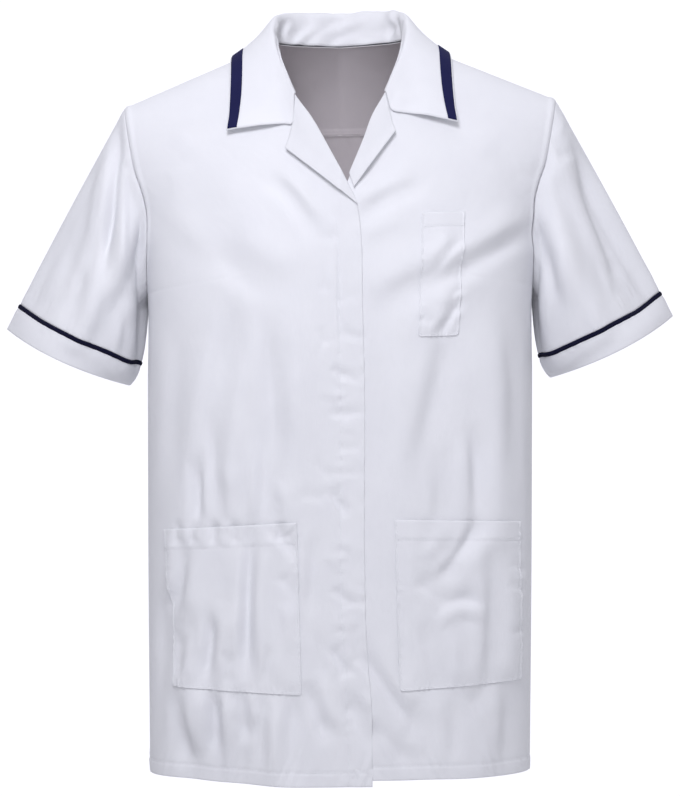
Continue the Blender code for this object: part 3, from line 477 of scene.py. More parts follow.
FLY_CREASES = creases(
    (-22, -204, -3, -206, 3.4, -1.1), (-1, -212, 1, -322, 1.7, -0.9, 1), (-10, -228, -9, -262, 4, 0.7),
    (-20, -252, -10, -258, 4, -1), (4, -262, 20, -265, 4, -0.8), (-3, -264, 1, -272, 3.6, -1.3),
    (-3, -296, 28, -306, 4, -1.4, 1.5), (-22, -296, -14, -312, 4.5, -1.3), (-8, -335, 4, -345, 3.4, -2, -1),
    (0, -341, 22, -348, 4, -1.5), (-18, -356, 2, -364, 5, 1), (-10, -377, 6, -382, 3.6, -1.5, 1.5),
    (4, -381, 24, -377, 3.8, -1.3), (-4, -392, 20, -395, 5, 0.8), (-4, -414, 22, -411, 4, -1, 1.5),
    (-24, -425, -8, -444, 4.5, -1.3, 2), (4, -438, 22, -440, 3.6, -0.8), (-9, -456, 6, -481, 4, -2.7),
    (-38, -460, -14, -464, 4.6, -1.3), (-27, -503, -28, -572, 5, -2.6, 1), (-38, -500, -37, -560, 6, 1.6),
    (-6, -553, 8, -569, 4, -2.4), (6, -568, 25, -568, 3.6, -1.3), (-8, -612, 4, -636, 4.4, -3.6),
    (-2, -640, 16, -634, 4, -2), (12, -622, 30, -630, 4.6, -1.4), (-22, -600, -19, -645, 6, -1.5),
    (-10, -585, 16, -592, 6, 1), (2, -505, 20, -520, 6, 1), (14, -590, 20, -612, 5, -1.3),
    (-14, -520, 0, -532, 5, 1.1),
)
UPPER_CREASES = creases(
    (-60, -136, -14, -192, 7, 3.4, -2), (-70, -146, -24, -206, 8, -2.2, -2), (-30, -158, 10, -196, 6, -1.3),
    (15, -169, 74, -140, 7, 3), (18, -184, 84, -153, 9, -2), (24, -200, 60, -186, 8, 1.4),
    (28, -256, 114, -222, 12, 4.1, -5), (98, -229, 186, -178, 9, 3.8, 3), (104, -244, 190, -196, 9, -3, 3),
    (48, -272, 150, -222, 13, -3.1), (-126, -212, -62, -264, 15, -4, 4), (-100, -196, -40, -236, 13, 1.8, 4),
    (-172, -170, -110, -236, 13, 1.8), (92, -238, 121, -203, 4.5, -2.2), (88, -224, 108, -204, 5, 1.2),
    (108, -262, 122, -254, 3.6, -1.7), (98, -303, 119, -267, 4.5, -2.9), (88, -300, 104, -278, 5, 1.6),
    (80, -284, 90, -290, 4, -1.2), (-104, -283, -142, -488, 10, -5.5, 8), (-88, -300, -106, -470, 12, 3.8, 4),
    (-74, -264, -58, -444, 10, -4.8, 3), (-44, -330, -46, -480, 12, 2.6), (116, -284, 77, -447, 12, -4.3, 3),
    (56, -320, 60, -470, 13, 2.6), (-143, -428, -143, -490, 5.5, -5), (-134, -432, -134, -490, 5.5, 2.6),
    (-126, -390, -127, -490, 6.5, -4.1), (-75, -390, -76, -490, 7.5, -3.8), (-86, -420, -88, -490, 6.5, 2.4),
    (-108, -434, -108, -490, 7, 2.6), (-58, -450, -52, -492, 6, 2), (134, -400, 137, -488, 6.5, -4.8),
    (122, -410, 122, -486, 8, 2.4), (150, -330, 156, -480, 11, 3.1), (98, -420, 100, -486, 8, -2.2),
    (-160, -300, -168, -440, 10, -3.6), (170, -290, 172, -430, 10, -3.6), (-184, -152, -150, -118, 10, -1.8),
    (190, -150, 150, -116, 10, -1.8), (-90, -60, -108, -118, 16, 1.2), (112, -64, 124, -112, 16, -1.2),
    (-150, -110, -178, -150, 12, 1.5),
)
FRONT_CREASES = POCKET_RIGHT_CREASES + POCKET_LEFT_CREASES + LOWER_CREASES + FLY_CREASES + UPPER_CREASES

# Creases inside the collar stand: along from the centre back, and down from the neck seam
STAND_CREASES = creases(
    (-64, 6, -30, 26, 5.5, -2.4, 2), (-54, 4, -18, 23, 5.5, 2), (-36, 8, 0, 28, 5.5, -2.4, -2),
    (-14, 4, 20, 18, 5, -2.2), (-2, 14, 34, 32, 6.5, 2.2), (24, 6, 56, 20, 5.5, -2.4, 2),
    (40, 16, 76, 30, 6.5, 2), (60, 4, 84, 24, 5.5, -2), (-86, 8, -70, 30, 6.5, -2), (-6, 22, 18, 34, 5, -1.6),
)

# Creases of the collar's fall, seen from the front
COLLAR_CREASES = creases(
    (-62, -20, -52, -62, 9, -1, 2), (-86, -34, -72, -78, 11, 0.9), (-56, -52, -46, -82, 6, 0.9),
    (62, -18, 78, -58, 10, -0.8), (88, -40, 96, -76, 10, 0.8), (52, -46, 62, -76, 7, 0.8),
)

# Creases of the back, in the same manner as those of the front
BACK_CREASES = creases(
    (-186, -196, -112, -302, 12, -2.2, 6), (-176, -222, -118, -342, 11, 1.8, 4),
    (188, -192, 118, -290, 12, -2.4, -6), (180, -226, 128, -352, 11, 1.8, -5), (-92, -118, -78, -250, 15, 1.8),
    (86, -112, 82, -240, 15, 1.6), (-40, -100, -46, -190, 14, -1.3), (34, -104, 38, -200, 14, -1.2),
    (-96, -300, -84, -470, 12, -2, 5), (-30, -330, -38, -500, 13, 1.6), (64, -310, 58, -480, 12, -2, -4),
    (138, -340, 142, -500, 12, 1.8), (-150, -360, -154, -540, 12, 1.7), (-62, -392, -8, -410, 8, -1.4, 3),
    (14, -428, 74, -412, 8, -1.5, -3), (-20, -452, 36, -462, 8, -1.1, 2), (96, -446, 150, -424, 9, -1.3),
    (-146, -430, -100, -452, 9, -1.2), (-160, -590, -156, -726, 9, -2.6, 2), (-132, -610, -135, -732, 9, 2),
    (-84, -560, -80, -728, 10, -2.4, -3), (-14, -600, -8, -734, 11, 2, 3), (58, -590, 64, -730, 9, -2.4, 3),
    (118, -600, 116, -732, 9, -2.2), (168, -560, 164, -720, 9, 1.7),
)

# Creases of the sleeve fronts, seen from the front like those of the body
SLEEVE_CREASES = {
    Hand.RIGHT: creases(
        (-217, -98, -232, -246, 6, -8, 1), (-212, -112, -226, -240, 5, 3.4, 1),
        (-232, -104, -248, -214, 7, 2.4, 1), (-189, -150, -190, -346, 16, -14),
        (-197, -110, -197, -320, 38, 4, 0, 0), (-258, -90, -342, -276, 34, -6, 0, 0),
        (-207, -136, -210, -236, 5, -3), (-209, -280, -216, -330, 6, -3.4, 1),
        (-246, -226, -250, -290, 10, 2.4), (-232, -262, -242, -316, 8, -2.2), (-262, -200, -284, -286, 11, -3),
        (-288, -212, -314, -276, 9, -2.4), (-205, -133, -215, -134, 2.6, -1.6),
    ),
    Hand.LEFT: creases(
        (210, -106, 224, -128, 7, -3.6), (209, -116, 195, -176, 6, -4.6, 2), (189, -150, 190, -346, 17, -15),
        (199, -84, 199, -320, 40, 12, 0, 0), (206, -200, 214, -306, 7, -2.6, -2),
        (216, -140, 222, -270, 9, 2.6, -2), (240, -126, 292, -240, 9, -4.6, 3), (286, -170, 318, -256, 12, -4),
        (256, -86, 340, -276, 54, -13, 0, 0), (246, -190, 262, -290, 10, 2), (274, -228, 282, -262, 7, -2),
    ),
}

# Folds round a sleeve: turn from the shoulder towards the front, start, end, width, height out
SLEEVE_FOLDS = (
    (70.0, 0.05, 0.7, 13.0, -0.006), (96.0, 0.15, 0.95, 13.0, 0.004), (122.0, 0.02, 0.6, 11.0, -0.005),
    (40.0, 0.35, 0.95, 15.0, -0.003), (150.0, 0.2, 0.9, 13.0, 0.002), (235.0, 0.05, 0.7, 13.0, -0.0045),
    (265.0, 0.2, 0.95, 15.0, 0.004), (300.0, 0.1, 0.8, 13.0, -0.004),
)
SLEEVE_BACK_FOLDS = (
    (214.0, 0.02, 0.45, 6.0, -0.0018), (224.0, 0.3, 0.85, 7.0, 0.0016), (250.0, 0.04, 0.55, 6.5, -0.002),
    (282.0, 0.3, 0.92, 7.0, -0.002), (318.0, 0.12, 0.62, 8.0, 0.0014), (20.0, 0.05, 0.4, 8.0, -0.0012),
    (342.0, 0.4, 0.9, 8.0, -0.0012),
)


@dataclass(frozen=True)
class BodyForm:
    """Hollow worn form of the tunic: a rounded shell below a falling shoulder ridge."""

    fine_steps: int = 320

    def ridge(self, across: Array) -> Array:
        """Height of the shoulder ridge at a distance from the middle."""
        return SHOULDER_TOP + (NECK_HALF_WIDTH - np.abs(across)) * SHOULDER_FALL

    def half_width(self, height: Array) -> Array:
        """Half width of the shell at a height."""
        return by_height(BODY_WIDTH, height)

    def depth(self, side: Side, drop: Array) -> Array:
        """Depth of the shell, smooth in the square root of the drop below the ridge."""
        drops, *depths = np.array(SHELL_DEPTH).T
        return curve_through(np.sqrt(drops), depths[side == Side.BACK], np.sqrt(np.maximum(drop, 0.0)))

    def points(self, side: Side, across: Array, height: Array) -> Array:
        """Points of the plain shell.

        The depth at a height is multiplied by the root of one less the share of the half width, both to
        the power of the roundness, as in a rounded oval.

        Args:
            side: Front or back.
            across: Places across.
            height: Heights.

        Returns:
            Points of the shell.
        """
        across, height = np.broadcast_arrays(np.asarray(across, float), np.asarray(height, float))
        share = np.clip(np.abs(across) / self.half_width(height), 0.0, 1.0)
        reach = (1.0 - share ** ROUNDNESS) ** (1.0 / ROUNDNESS)
        depth = self.depth(side, np.maximum(self.ridge(across) - height, 0.0))
        return np.stack([across, int(side) * depth * reach, height], axis=-1)

    def rows(self, side: Side, start: Array, end: Array, height_at: Callable[[Array], Array]) -> Array:
        """Close points across the shell, one row for each level.

        Args:
            side: Front or back.
            start: Place across where each row starts, as a column.
            end: Place across where each row ends, as a column.
            height_at: Gives each row's height at places across.

        Returns:
            Rows of close points, even in the turn of the rounded oval.
        """
        ends = join([start, end], axis=1)
        widths = self.half_width(height_at(ends))
        shares = np.clip(ends / widths, -1.0, 1.0)
        turns = np.arcsin(np.sign(shares) * np.abs(shares) ** (ROUNDNESS / 2))
        turn = turns[:, :1] + (turns[:, 1:] - turns[:, :1]) * even(self.fine_steps - 1)
        share = np.sign(turn) * np.abs(np.sin(turn)) ** (2 / ROUNDNESS)
        across = share * widths.mean(axis=1, keepdims=True)
        for _ in range(8):
            across = share * self.half_width(height_at(across))
        across[:, :1] = start
        across[:, -1:] = end
        return self.points(side, across, height_at(across))

    def front_reach(self, hand: Hand, height: Array) -> Array:
        """Inner edge of a front, as its reach past the centre."""
        return by_height(OVER_EDGE if hand == Hand.RIGHT else UNDER_EDGE, height)

    def side_reach(self, height: Array) -> Array:
        """Half width where a panel ends: the armhole seam, then the side seam."""
        return np.where(height > ARMPIT + 1e-6, by_height(ARMHOLE, height), self.half_width(height))

    def lean(self, points: Array) -> Array:
        """Lean the garment a little to one side, as it hangs on a wearer.

        Args:
            points: Points of the level form.

        Returns:
            Points raised by their place across times a slope that grows from hem to armpit.
        """
        points = np.array(points, float)
        slope = LEAN_HEM + (LEAN_TOP - LEAN_HEM) * ease(HEM, ARMPIT, points[..., 2])
        points[..., 2] += points[..., 0] * slope
        return points

    def folds(self, table: Sequence[Sequence[float]], points: Array) -> Array:
        """Height of the broad folds: bells across a leaning line, which fade at both ends.

        Args:
            table: Rows of folds.
            points: Points of the level form.

        Returns:
            Heights out.
        """
        total = np.zeros(points.shape[:-1])
        for across, top, bottom, width, height, slope in table:
            line = across + slope * (top - points[..., 2])
            fade = ease(bottom - FOLD_FADE, bottom + FOLD_FADE, points[..., 2])
            fade = fade * (1.0 - ease(top - FOLD_FADE, top + FOLD_FADE, points[..., 2]))
            total += height * hump((points[..., 0] - line) / width) * fade
        return total * (1.0 - ease(SIDE_QUIET, SIDE_QUIET + 0.04, np.abs(points[..., 0])))

    def rise(self, side: Side, points: Array) -> Array:
        """Height of all folds and creases of one side, which die out at the side and shoulder seams.

        Args:
            side: Front or back.
            points: Points of the level form.

        Returns:
            Heights out.
        """
        if side == Side.FRONT:
            x, z = VIEW.seen(self.lean(points))
            fine = total_rise(FRONT_CREASES, x, z)
            broad = self.folds(FRONT_FOLDS, points)
        else:
            fine = total_rise(BACK_CREASES, points[..., 0] / MM, points[..., 2] / MM)
            broad = self.folds(BACK_FOLDS, points)
        low = 1.0 - ease(ARMPIT - 0.015, ARMPIT + 0.02, points[..., 2])
        calm = 1.0 - low * ease(0.18, 0.196, np.abs(points[..., 0]))
        calm = calm * ease(0.0, 0.03, self.ridge(points[..., 0]) - points[..., 2])
        return broad + fine * calm

    def front(self, across: Array, height: Array, out: Array | float = 0.0) -> Pair:
        """Points on the creased front, moved out along the plain shell's normals.

        Args:
            across: Places across.
            height: Heights.
            out: Distances out.

        Returns:
            Points and normals.
        """
        step = 0.001
        point = self.points(Side.FRONT, across, height)
        aside = self.points(Side.FRONT, across + step, height) - point
        below = self.points(Side.FRONT, across, height - step) - point
        normal = unit(np.cross(aside, below))
        normal = np.where(normal[..., 1:2] > 0, -normal, normal)
        lift = self.rise(Side.FRONT, point) + out
        return point + normal * lift[..., None], normal


FORM = BodyForm()


def skin(index: Array) -> Array:
    """Triangles of a grid of numbers, every cell cut along the same diagonal.

    Args:
        index: Number of each point.

    Returns:
        Three numbers for each triangle.
    """
    first = index[:-1, :-1].ravel()
    second = index[1:, :-1].ravel()
    third = index[1:, 1:].ravel()
    fourth = index[:-1, 1:].ravel()
    return join([np.stack([first, second, third], 1), np.stack([first, third, fourth], 1)])


def inside_out(points: Array, triangles: Array) -> bool:
    """Whether the volume inside closed triangles comes out negative."""
    corners = points[triangles]
    return bool(np.sum(np.cross(corners[:, 0], corners[:, 1]) * corners[:, 2]) < 0)


def edge_paths(index: Array, ring: bool) -> list[Array]:
    """Closed paths of numbers round the edge of a grid, or round both ends of a tube.

    Args:
        index: Number of each point.
        ring: Whether it is a tube.

    Returns:
        The paths.
    """
    if ring:
        return [index[0], index[-1][::-1]]
    parts = [index[0, :-1], index[:-1, -1], index[-1, :0:-1], index[:0:-1, 0], index[0, :1]]
    return [join(parts)]


def put_object(name: str, data: bpy.types.ID) -> Item:
    """New object of the scene that holds the data.

    Args:
        name: Name of the object.
        data: Its mesh, light or camera.

    Returns:
        The object.
    """
    item = bpy.data.objects.new(name, data)
    bpy.context.scene.collection.objects.link(item)
    return item


def put_mesh(name: str, points: Array, faces: Array, corners: Array, material: Finish,
             inside_shade_finish: Finish | None = None, paint_inside_shade: slice = slice(0)) -> Item:
    """Make an object from whole arrays, with its UV map in metres of cloth.

    Args:
        name: Name of the piece.
        points: Points of the level form, which are leaned here.
        faces: Triangles that point outwards.
        corners: Place on the cloth of each corner of each triangle.
        material: Finish of the piece.
        inside_shade_finish: Finish of the wrong side of the cloth, a darker, pinker white that paints the shade
            inside the hollow garment.
        paint_inside_shade: Faces that show the wrong side, which get that painted shade.

    Returns:
        The new object, at the origin.
    """
    mesh = bpy.data.meshes.new(name)
    mesh.vertices.add(len(points))
    mesh.vertices.foreach_set("co", FORM.lean(points).astype(np.float32).ravel())
    mesh.loops.add(faces.size)
    mesh.loops.foreach_set("vertex_index", faces.astype(np.int32).ravel())
    mesh.polygons.add(len(faces))
    mesh.polygons.foreach_set("loop_start", np.arange(0, faces.size, 3, dtype=np.int32))
    mesh.polygons.foreach_set("use_smooth", np.ones(len(faces), bool))
    layer = mesh.uv_layers.new(name="cloth")
    layer.data.foreach_set("uv", corners.astype(np.float32).ravel())
    mesh.update(calc_edges=True)
    mesh.validate()
    mesh.materials.append(material)
    # The second material is the inside finish, which paints the shade inside the garment onto the inner faces.
    if inside_shade_finish is not None:
        sides = np.zeros(len(faces), dtype=np.int32)
        sides[paint_inside_shade] = 1
        mesh.materials.append(inside_shade_finish)
        mesh.polygons.foreach_set("material_index", sides)
    return put_object(name, mesh)


@dataclass
class Cut:
    """A cut piece of cloth, as its maker lays it flat."""

    width: float
    length: float
    area: float

    @classmethod
    def of(cls, grid: Array, ring: bool = False) -> "Cut":
        """Measure a cut from its plain uncreased grid: longest row, longest column and whole area.

        Args:
            grid: Plain points.
            ring: Whether each row closes on itself.

        Returns:
            The cut.
        """
        if ring:
            grid = join([grid, grid[:, :1]], axis=1)
        width = row_lengths(grid)[:, -1].max()
        length = row_lengths(np.swapaxes(grid, 0, 1))[:, -1].max()
        corners = grid.reshape(-1, 3)[skin(np.arange(grid.shape[0] * grid.shape[1]).reshape(grid.shape[:2]))]
        sides = np.cross(corners[:, 1] - corners[:, 0], corners[:, 2] - corners[:, 0])
        area = float(np.linalg.norm(sides, axis=1).sum() / 2)
        return cls(float(width), float(length), min(area, 0.999 * float(width * length)))


@dataclass
class ClothShell:
    """Closed thin shell between an outer and an inner grid, with softly rounded edges."""

    name: str
    outer: Array
    inner: Array
    flow: Array
    ring: bool = False
    edge_pull: float = 0.22
    edge_push: float = 0.12

    def rounded(self) -> Pair:
        """Pull the edge points of both grids together, so that the edge looks turned, not cut.

        Returns:
            Outer and inner grid.
        """
        outer = self.outer.copy()
        inner = self.inner.copy()
        edge = np.zeros(outer.shape[:2], bool)
        edge[[0, -1]] = True
        if not self.ring:
            edge[:, [0, -1]] = True
        apart = (inner - outer)[edge]
        outer[edge] += self.edge_pull * apart
        inner[edge] -= self.edge_pull * apart
        return outer, inner

    def build(self, material: Finish, inside_shade_finish: Finish | None = None) -> Item:
        """Join both skins with a rounded rim and make the object.

        Args:
            material: Finish of the piece.
            inside_shade_finish: Finish of its wrong side, a darker white that paints the shade inside the
                garment, or none where that never shows.

        Returns:
            The new object.
        """
        outer, inner = self.rounded()
        rows, columns = outer.shape[:2]
        count = rows * columns
        index = np.arange(count).reshape(rows, columns)
        if self.ring:
            index = join([index, index[:, :1]], axis=1)
        marks = np.arange(self.flow.shape[0] * self.flow.shape[1]).reshape(self.flow.shape[:2])
        points = [outer.reshape(-1, 3), inner.reshape(-1, 3)]
        faces = [skin(index), skin(index)[:, ::-1] + count]
        spots = [skin(marks), skin(marks)[:, ::-1]]
        total = 2 * count
        for path, mark in zip(edge_paths(index, self.ring), edge_paths(marks, self.ring)):
            place = path[:-1]
            row = np.clip(place // columns, 1, rows - 2)
            column = place % columns
            if not self.ring:
                column = np.clip(column, 1, columns - 2)
            here = points[0][place]
            there = points[1][place]
            away = unit(here - outer[row, column])
            deep = np.linalg.norm(here - there, axis=1, keepdims=True)
            points.append((here + there) / 2 + away * self.edge_push * deep)
            middle = total + np.append(np.arange(len(place)), 0)
            total += len(place)
            far = path + count
            for near_line, far_line in ((path, middle), (middle, far)):
                faces.append(np.stack([near_line[:-1], near_line[1:], far_line[1:]], 1))
                faces.append(np.stack([near_line[:-1], far_line[1:], far_line[:-1]], 1))
                spots.append(np.stack([mark[:-1], mark[1:], mark[1:]], 1))
                spots.append(np.stack([mark[:-1], mark[1:], mark[:-1]], 1))
        points = join(points)
        faces = join(faces)
        spots = join(spots)
        if inside_out(points, faces):
            faces = faces[:, ::-1]
            spots = spots[:, ::-1]
        places = self.flow.reshape(-1, 2)[spots.ravel()]
        half = len(skin(index))
        return put_mesh(self.name, points, faces, places, material, inside_shade_finish=inside_shade_finish, paint_inside_shade=slice(half, 2 * half))


def flow_of(across: Array, down: Array, ring: bool = False) -> Array:
    """Places on the cloth, in metres, from distances across and down it.

    Args:
        across: Distances across.
        down: Distances down, which spread over the rows.
        ring: Whether one more column closes the round.

    Returns:
        Two numbers for each point of the grid.
    """
    across, down = np.broadcast_arrays(across, down)
    flow = np.stack([across, down], axis=-1)
    if ring:
        last = flow[:, -1:].copy()
        last[..., 0] += flow[:, -1:, 0] - flow[:, -2:-1, 0]
        flow = join([flow, last], axis=1)
    return flow


@dataclass(frozen=True)
class Board:
    """Node tree that short calls fill with nodes, values and links."""

    tree: bpy.types.NodeTree

    def fill(self, node: bpy.types.Node, sockets: dict) -> None:
        """Set sockets of a node, or link outputs of other nodes to them.

        Args:
            node: Node to fill.
            sockets: Value or output for each socket.
        """
        for name, value in sockets.items():
            if isinstance(value, Socket):
                self.tree.links.new(value, node.inputs[name])
            else:
                node.inputs[name].default_value = value

    def add(self, kind: str, sockets: dict | None = None, **settings: str) -> bpy.types.Node:
        """Add a node.

        Args:
            kind: Kind of shader node.
            sockets: Value or output for each socket.
            settings: The node's own settings.

        Returns:
            The node.
        """
        node = self.tree.nodes.new("ShaderNode" + kind)
        for name, value in settings.items():
            setattr(node, name, value)
        self.fill(node, sockets or {})
        return node

    def ramp(self, share: Socket, stops: Iterable[tuple]) -> Socket:
        """Add a colour ramp.

        Args:
            share: Output that it reads.
            stops: Position and colour of each stop, the two ends first.

        Returns:
            Its colour.
        """
        ramp = self.add("ValToRGB", {"Fac": share})
        for number, (position, colour) in enumerate(stops):
            if number > 1:
                ramp.color_ramp.elements.new(position)
            element = ramp.color_ramp.elements[number]
            element.position = position
            element.color = (*colour, 1.0)
        return ramp.outputs["Color"]

    def bumps(self, heights: Iterable[tuple]) -> Socket:
        """Chain a bump for each height.

        Args:
            heights: Output and depth of each.

        Returns:
            The last bump's normal.
        """
        normal = None
        for output, depth in heights:
            bump = self.add("Bump", {"Strength": 1.0, "Distance": depth, "Height": output})
            if normal is not None:
                self.fill(bump, {"Normal": normal})
            normal = bump.outputs["Normal"]
        return normal


def new_material(name: str, values: dict) -> tuple[Finish, Board, bpy.types.Node]:
    """Make a material.

    Args:
        name: Name of the material.
        values: Values of its main shader's sockets.

    Returns:
        The material, its board and its main shader.
    """
    material = bpy.data.materials.new(name)
    material.use_nodes = True
    board = Board(material.node_tree)
    shader = board.tree.nodes["Principled BSDF"]
    board.fill(shader, values)
    return material, board, shader


def band_scale(pitch: float) -> float:
    """Scale of a band pattern whose bands lie a pitch apart."""
    return 2 * np.pi / (20.0 * pitch)


@dataclass(frozen=True)
class WovenFinish:
    """Plain woven cloth: fine crossing threads, uneven yarn and a faint cloudy tone."""

    name: str
    colour: Colour
    shade: Colour
    roughness: float = 0.82
    thread: float = 0.00055
    weave_depth: float = 0.00005
    slub_depth: float = 0.0001
    cockle_depth: float = 0.00045
    slub: Colour = (1800.0, 90.0, 1.0)
    cockle: Colour = (70.0, 50.0, 1.0)
    sheen: float = 0.06
    gloss: float = 0.25

    def material(self) -> Finish:
        """Build the cloth from the UV map, which is in metres.

        Two band patterns a thread apart cross at right angles. A stretched noise thickens some yarns, a
        broad one makes the cloth lie a little unevenly, and a cloud tints it between its two tones.

        Returns:
            The material.
        """
        material, board, shader = new_material(self.name, {
            "Roughness": self.roughness, "Specular IOR Level": self.gloss, "Sheen Weight": self.sheen,
            "Sheen Roughness": 0.5})
        place = board.add("UVMap", uv_map="cloth").outputs["UV"]
        heights = []
        for direction in ("X", "Y"):
            band = board.add("TexWave", {"Scale": band_scale(self.thread), "Vector": place},
                             wave_type="BANDS", bands_direction=direction)
            heights.append((band.outputs["Fac"], self.weave_depth))
        for stretch, depth in ((self.slub, self.slub_depth), (self.cockle, self.cockle_depth)):
            lay = board.add("Mapping", {"Scale": stretch, "Vector": place})
            noise = board.add("TexNoise", {"Scale": 1.0, "Detail": 2.0, "Vector": lay.outputs["Vector"]})
            heights.append((noise.outputs["Fac"], depth))
        cloud = board.add("TexNoise", {"Scale": 22.0, "Detail": 3.0, "Vector": place})
        tone = board.ramp(cloud.outputs["Fac"], ((0.25, self.shade), (0.75, self.colour)))
        board.fill(shader, {"Normal": board.bumps(heights), "Base Color": tone})
        return material


@dataclass(frozen=True)
class ThreadFinish:
    """Twisted sewing thread, a little brighter than the cloth."""

    name: str
    colour: Colour
    twist: float = 0.0004
    depth: float = 0.00004

    def material(self) -> Finish:
        """Build the thread, with slanted bands along its UV map for the twist.

        Returns:
            The material.
        """
        material, board, shader = new_material(self.name, {
            "Base Color": (*self.colour, 1.0), "Roughness": 0.55, "Sheen Weight": 0.1})
        place = board.add("UVMap", uv_map="cloth").outputs["UV"]
        band = board.add("TexWave", {"Scale": band_scale(self.twist), "Vector": place},
                         bands_direction="DIAGONAL")
        board.fill(shader, {"Normal": board.bumps([(band.outputs["Fac"], self.depth)])})
        return material


class Slot(Enum):
    """Material slots of the record."""

    WHITE = "cloth_white"
    NAVY = "trim_navy"


@dataclass(frozen=True)
class Seam:
    """A line of stitching: its points and the cloth's normals there."""

    points: Array
    normals: Array


@dataclass(frozen=True)
class Stitching:
    """Lockstitch as single short threads that dip into the cloth at both ends."""

    pitch: float = 0.0031
    length: float = 0.0023
    radius: float = 0.00024
    reach: float = 0.0004
    sides: int = 5

    def template(self) -> Pair:
        """One thread along X with its belly up Z, and its triangles.

        Returns:
            Points on four rings with a closed fan at both ends, and triangles.
        """
        along = np.array([-0.5, -0.28, 0.28, 0.5]) * self.length
        size = np.array([0.45, 1.0, 1.0, 0.45]) * self.radius
        lift = np.array([-0.6, 0.55, 0.55, -0.6]) * self.radius
        turn = np.arange(self.sides) * 2 * np.pi / self.sides
        x = np.repeat(along, self.sides)
        y = (size[:, None] * np.cos(turn)).ravel()
        z = (size[:, None] * np.sin(turn) + lift[:, None]).ravel()
        index = np.arange(4 * self.sides).reshape(4, self.sides)
        index = join([index, index[:, :1]], axis=1)
        fan = np.arange(1, self.sides - 1)
        first = np.stack([np.zeros_like(fan), fan, fan + 1], 1)
        last = first[:, ::-1] + 3 * self.sides
        return np.stack([x, y, z], axis=1), join([skin(index), first, last])

    def build(self, name: str, seams: Iterable[Seam], material: Finish) -> Item:
        """Set a thread at every pitch along the seams.

        Each thread is the template in the frame of the seam's direction and the cloth's normal.

        Args:
            name: Name of the piece.
            seams: Lines of stitching.
            material: Finish of the thread.

        Returns:
            The new object.
        """
        template, triangles = self.template()
        corner = triangles[:, ::-1] if inside_out(template, triangles) else triangles
        points = []
        for seam in seams:
            both = join([seam.points, seam.normals], axis=1)[None]
            lengths = row_lengths(seam.points[None])
            count = max(int(lengths[0, -1] / self.pitch), 1)
            places = (np.arange(count) + 0.5) * lengths[0, -1] / count
            spots = read_rows(lengths, both, places[None])[0]
            ahead = read_rows(lengths, both, places[None] + self.reach)[0, :, :3]
            behind = read_rows(lengths, both, places[None] - self.reach)[0, :, :3]
            along = unit(ahead - behind)
            up = unit(spots[:, 3:] - along * np.sum(spots[:, 3:] * along, axis=1, keepdims=True))
            axes = np.stack([along, np.cross(up, along), up], axis=1)
            points.append(spots[:, None, :3] + np.einsum("pk,nkj->npj", template, axes))
        points = join(points)
        steps = np.arange(len(points)) * len(template)
        faces = (corner[None] + steps[:, None, None]).reshape(-1, 3)
        places = np.tile(template[:, :2], (len(points), 1))[faces.ravel()]
        return put_mesh(name, points.reshape(-1, 3), faces, places, material)


STITCHING = Stitching()


def dress(piece: Item, node: str | None = None) -> Item:
    """Fasten a piece to the body, and let it stand for a node.

    Args:
        piece: Object of the piece.
        node: Node of the solids, or none.

    Returns:
        The piece.
    """
    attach(piece, BODY)
    if node is not None:
        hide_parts(node)
    log.info("%s: %d triangles", piece.name, len(piece.data.polygons))
    return piece


@dataclass
class Wardrobe:
    """The finishes, built once and shared by all pieces."""

    white: WovenFinish = WovenFinish("white_poplin", (0.83, 0.835, 0.86), (0.8, 0.805, 0.835))
    # The inside finish is not the cloth's own colour: its darker, pinker white paints the shade inside the
    # hollow garment onto the inner skins.
    inside: WovenFinish = WovenFinish("white_poplin_wrong_side", (0.7, 0.655, 0.672), (0.67, 0.625, 0.645))
    navy: WovenFinish = WovenFinish("navy_band", (0.0135, 0.0145, 0.07), (0.0105, 0.0115, 0.058),
                                    thread=0.0008, gloss=0.12, sheen=0.02)
    piping: WovenFinish = WovenFinish("navy_piping", (0.006, 0.0062, 0.026), (0.0045, 0.0048, 0.02),
                                      thread=0.0008, gloss=0.1, sheen=0.01)
    thread: ThreadFinish = ThreadFinish("white_thread", (0.84, 0.845, 0.87))
    made: dict[str, Finish] = field(default_factory=dict)

    def get(self, finish: str) -> Finish:
        """Look a finish up, and make its material when it is first asked for.

        Args:
            finish: Name of the finish here.

        Returns:
            Its material.
        """
        if finish not in self.made:
            self.made[finish] = getattr(self, finish).material()
        return self.made[finish]

    def trim(self, shell: ClothShell, finish: str, node: str) -> Item:
        """Make a navy trim."""
        return dress(shell.build(self.get(finish)), node)

    def sew(self, shell: ClothShell, node: str, plain: Array, lines: Sequence[Seam] = (),
            trims: Iterable[Item] = (), paint_inside_shade: bool = False) -> None:
        """Make a white piece with its stitching, and measure its cut.

        Args:
            shell: Both skins of the cloth.
            node: Node that it stands for.
            plain: Plain points from which its cut is measured.
            lines: Its lines of stitching.
            trims: Trims that go with it, taken up once the piece is made.
            paint_inside_shade: Whether its wrong side shows, and so gets the painted shade of the inside.
        """
        # Inner skins that show get the inside finish, which is painted shade.
        piece = shell.build(self.get("white"), self.get("inside") if paint_inside_shade else None)
        dress(piece, node)
        joined = list(trims)
        if lines:
            threads = STITCHING.build(shell.name.replace("cloth_", "stitches_"), lines, self.get("thread"))
            joined.append(dress(threads))
        cut = Cut.of(plain, shell.ring)


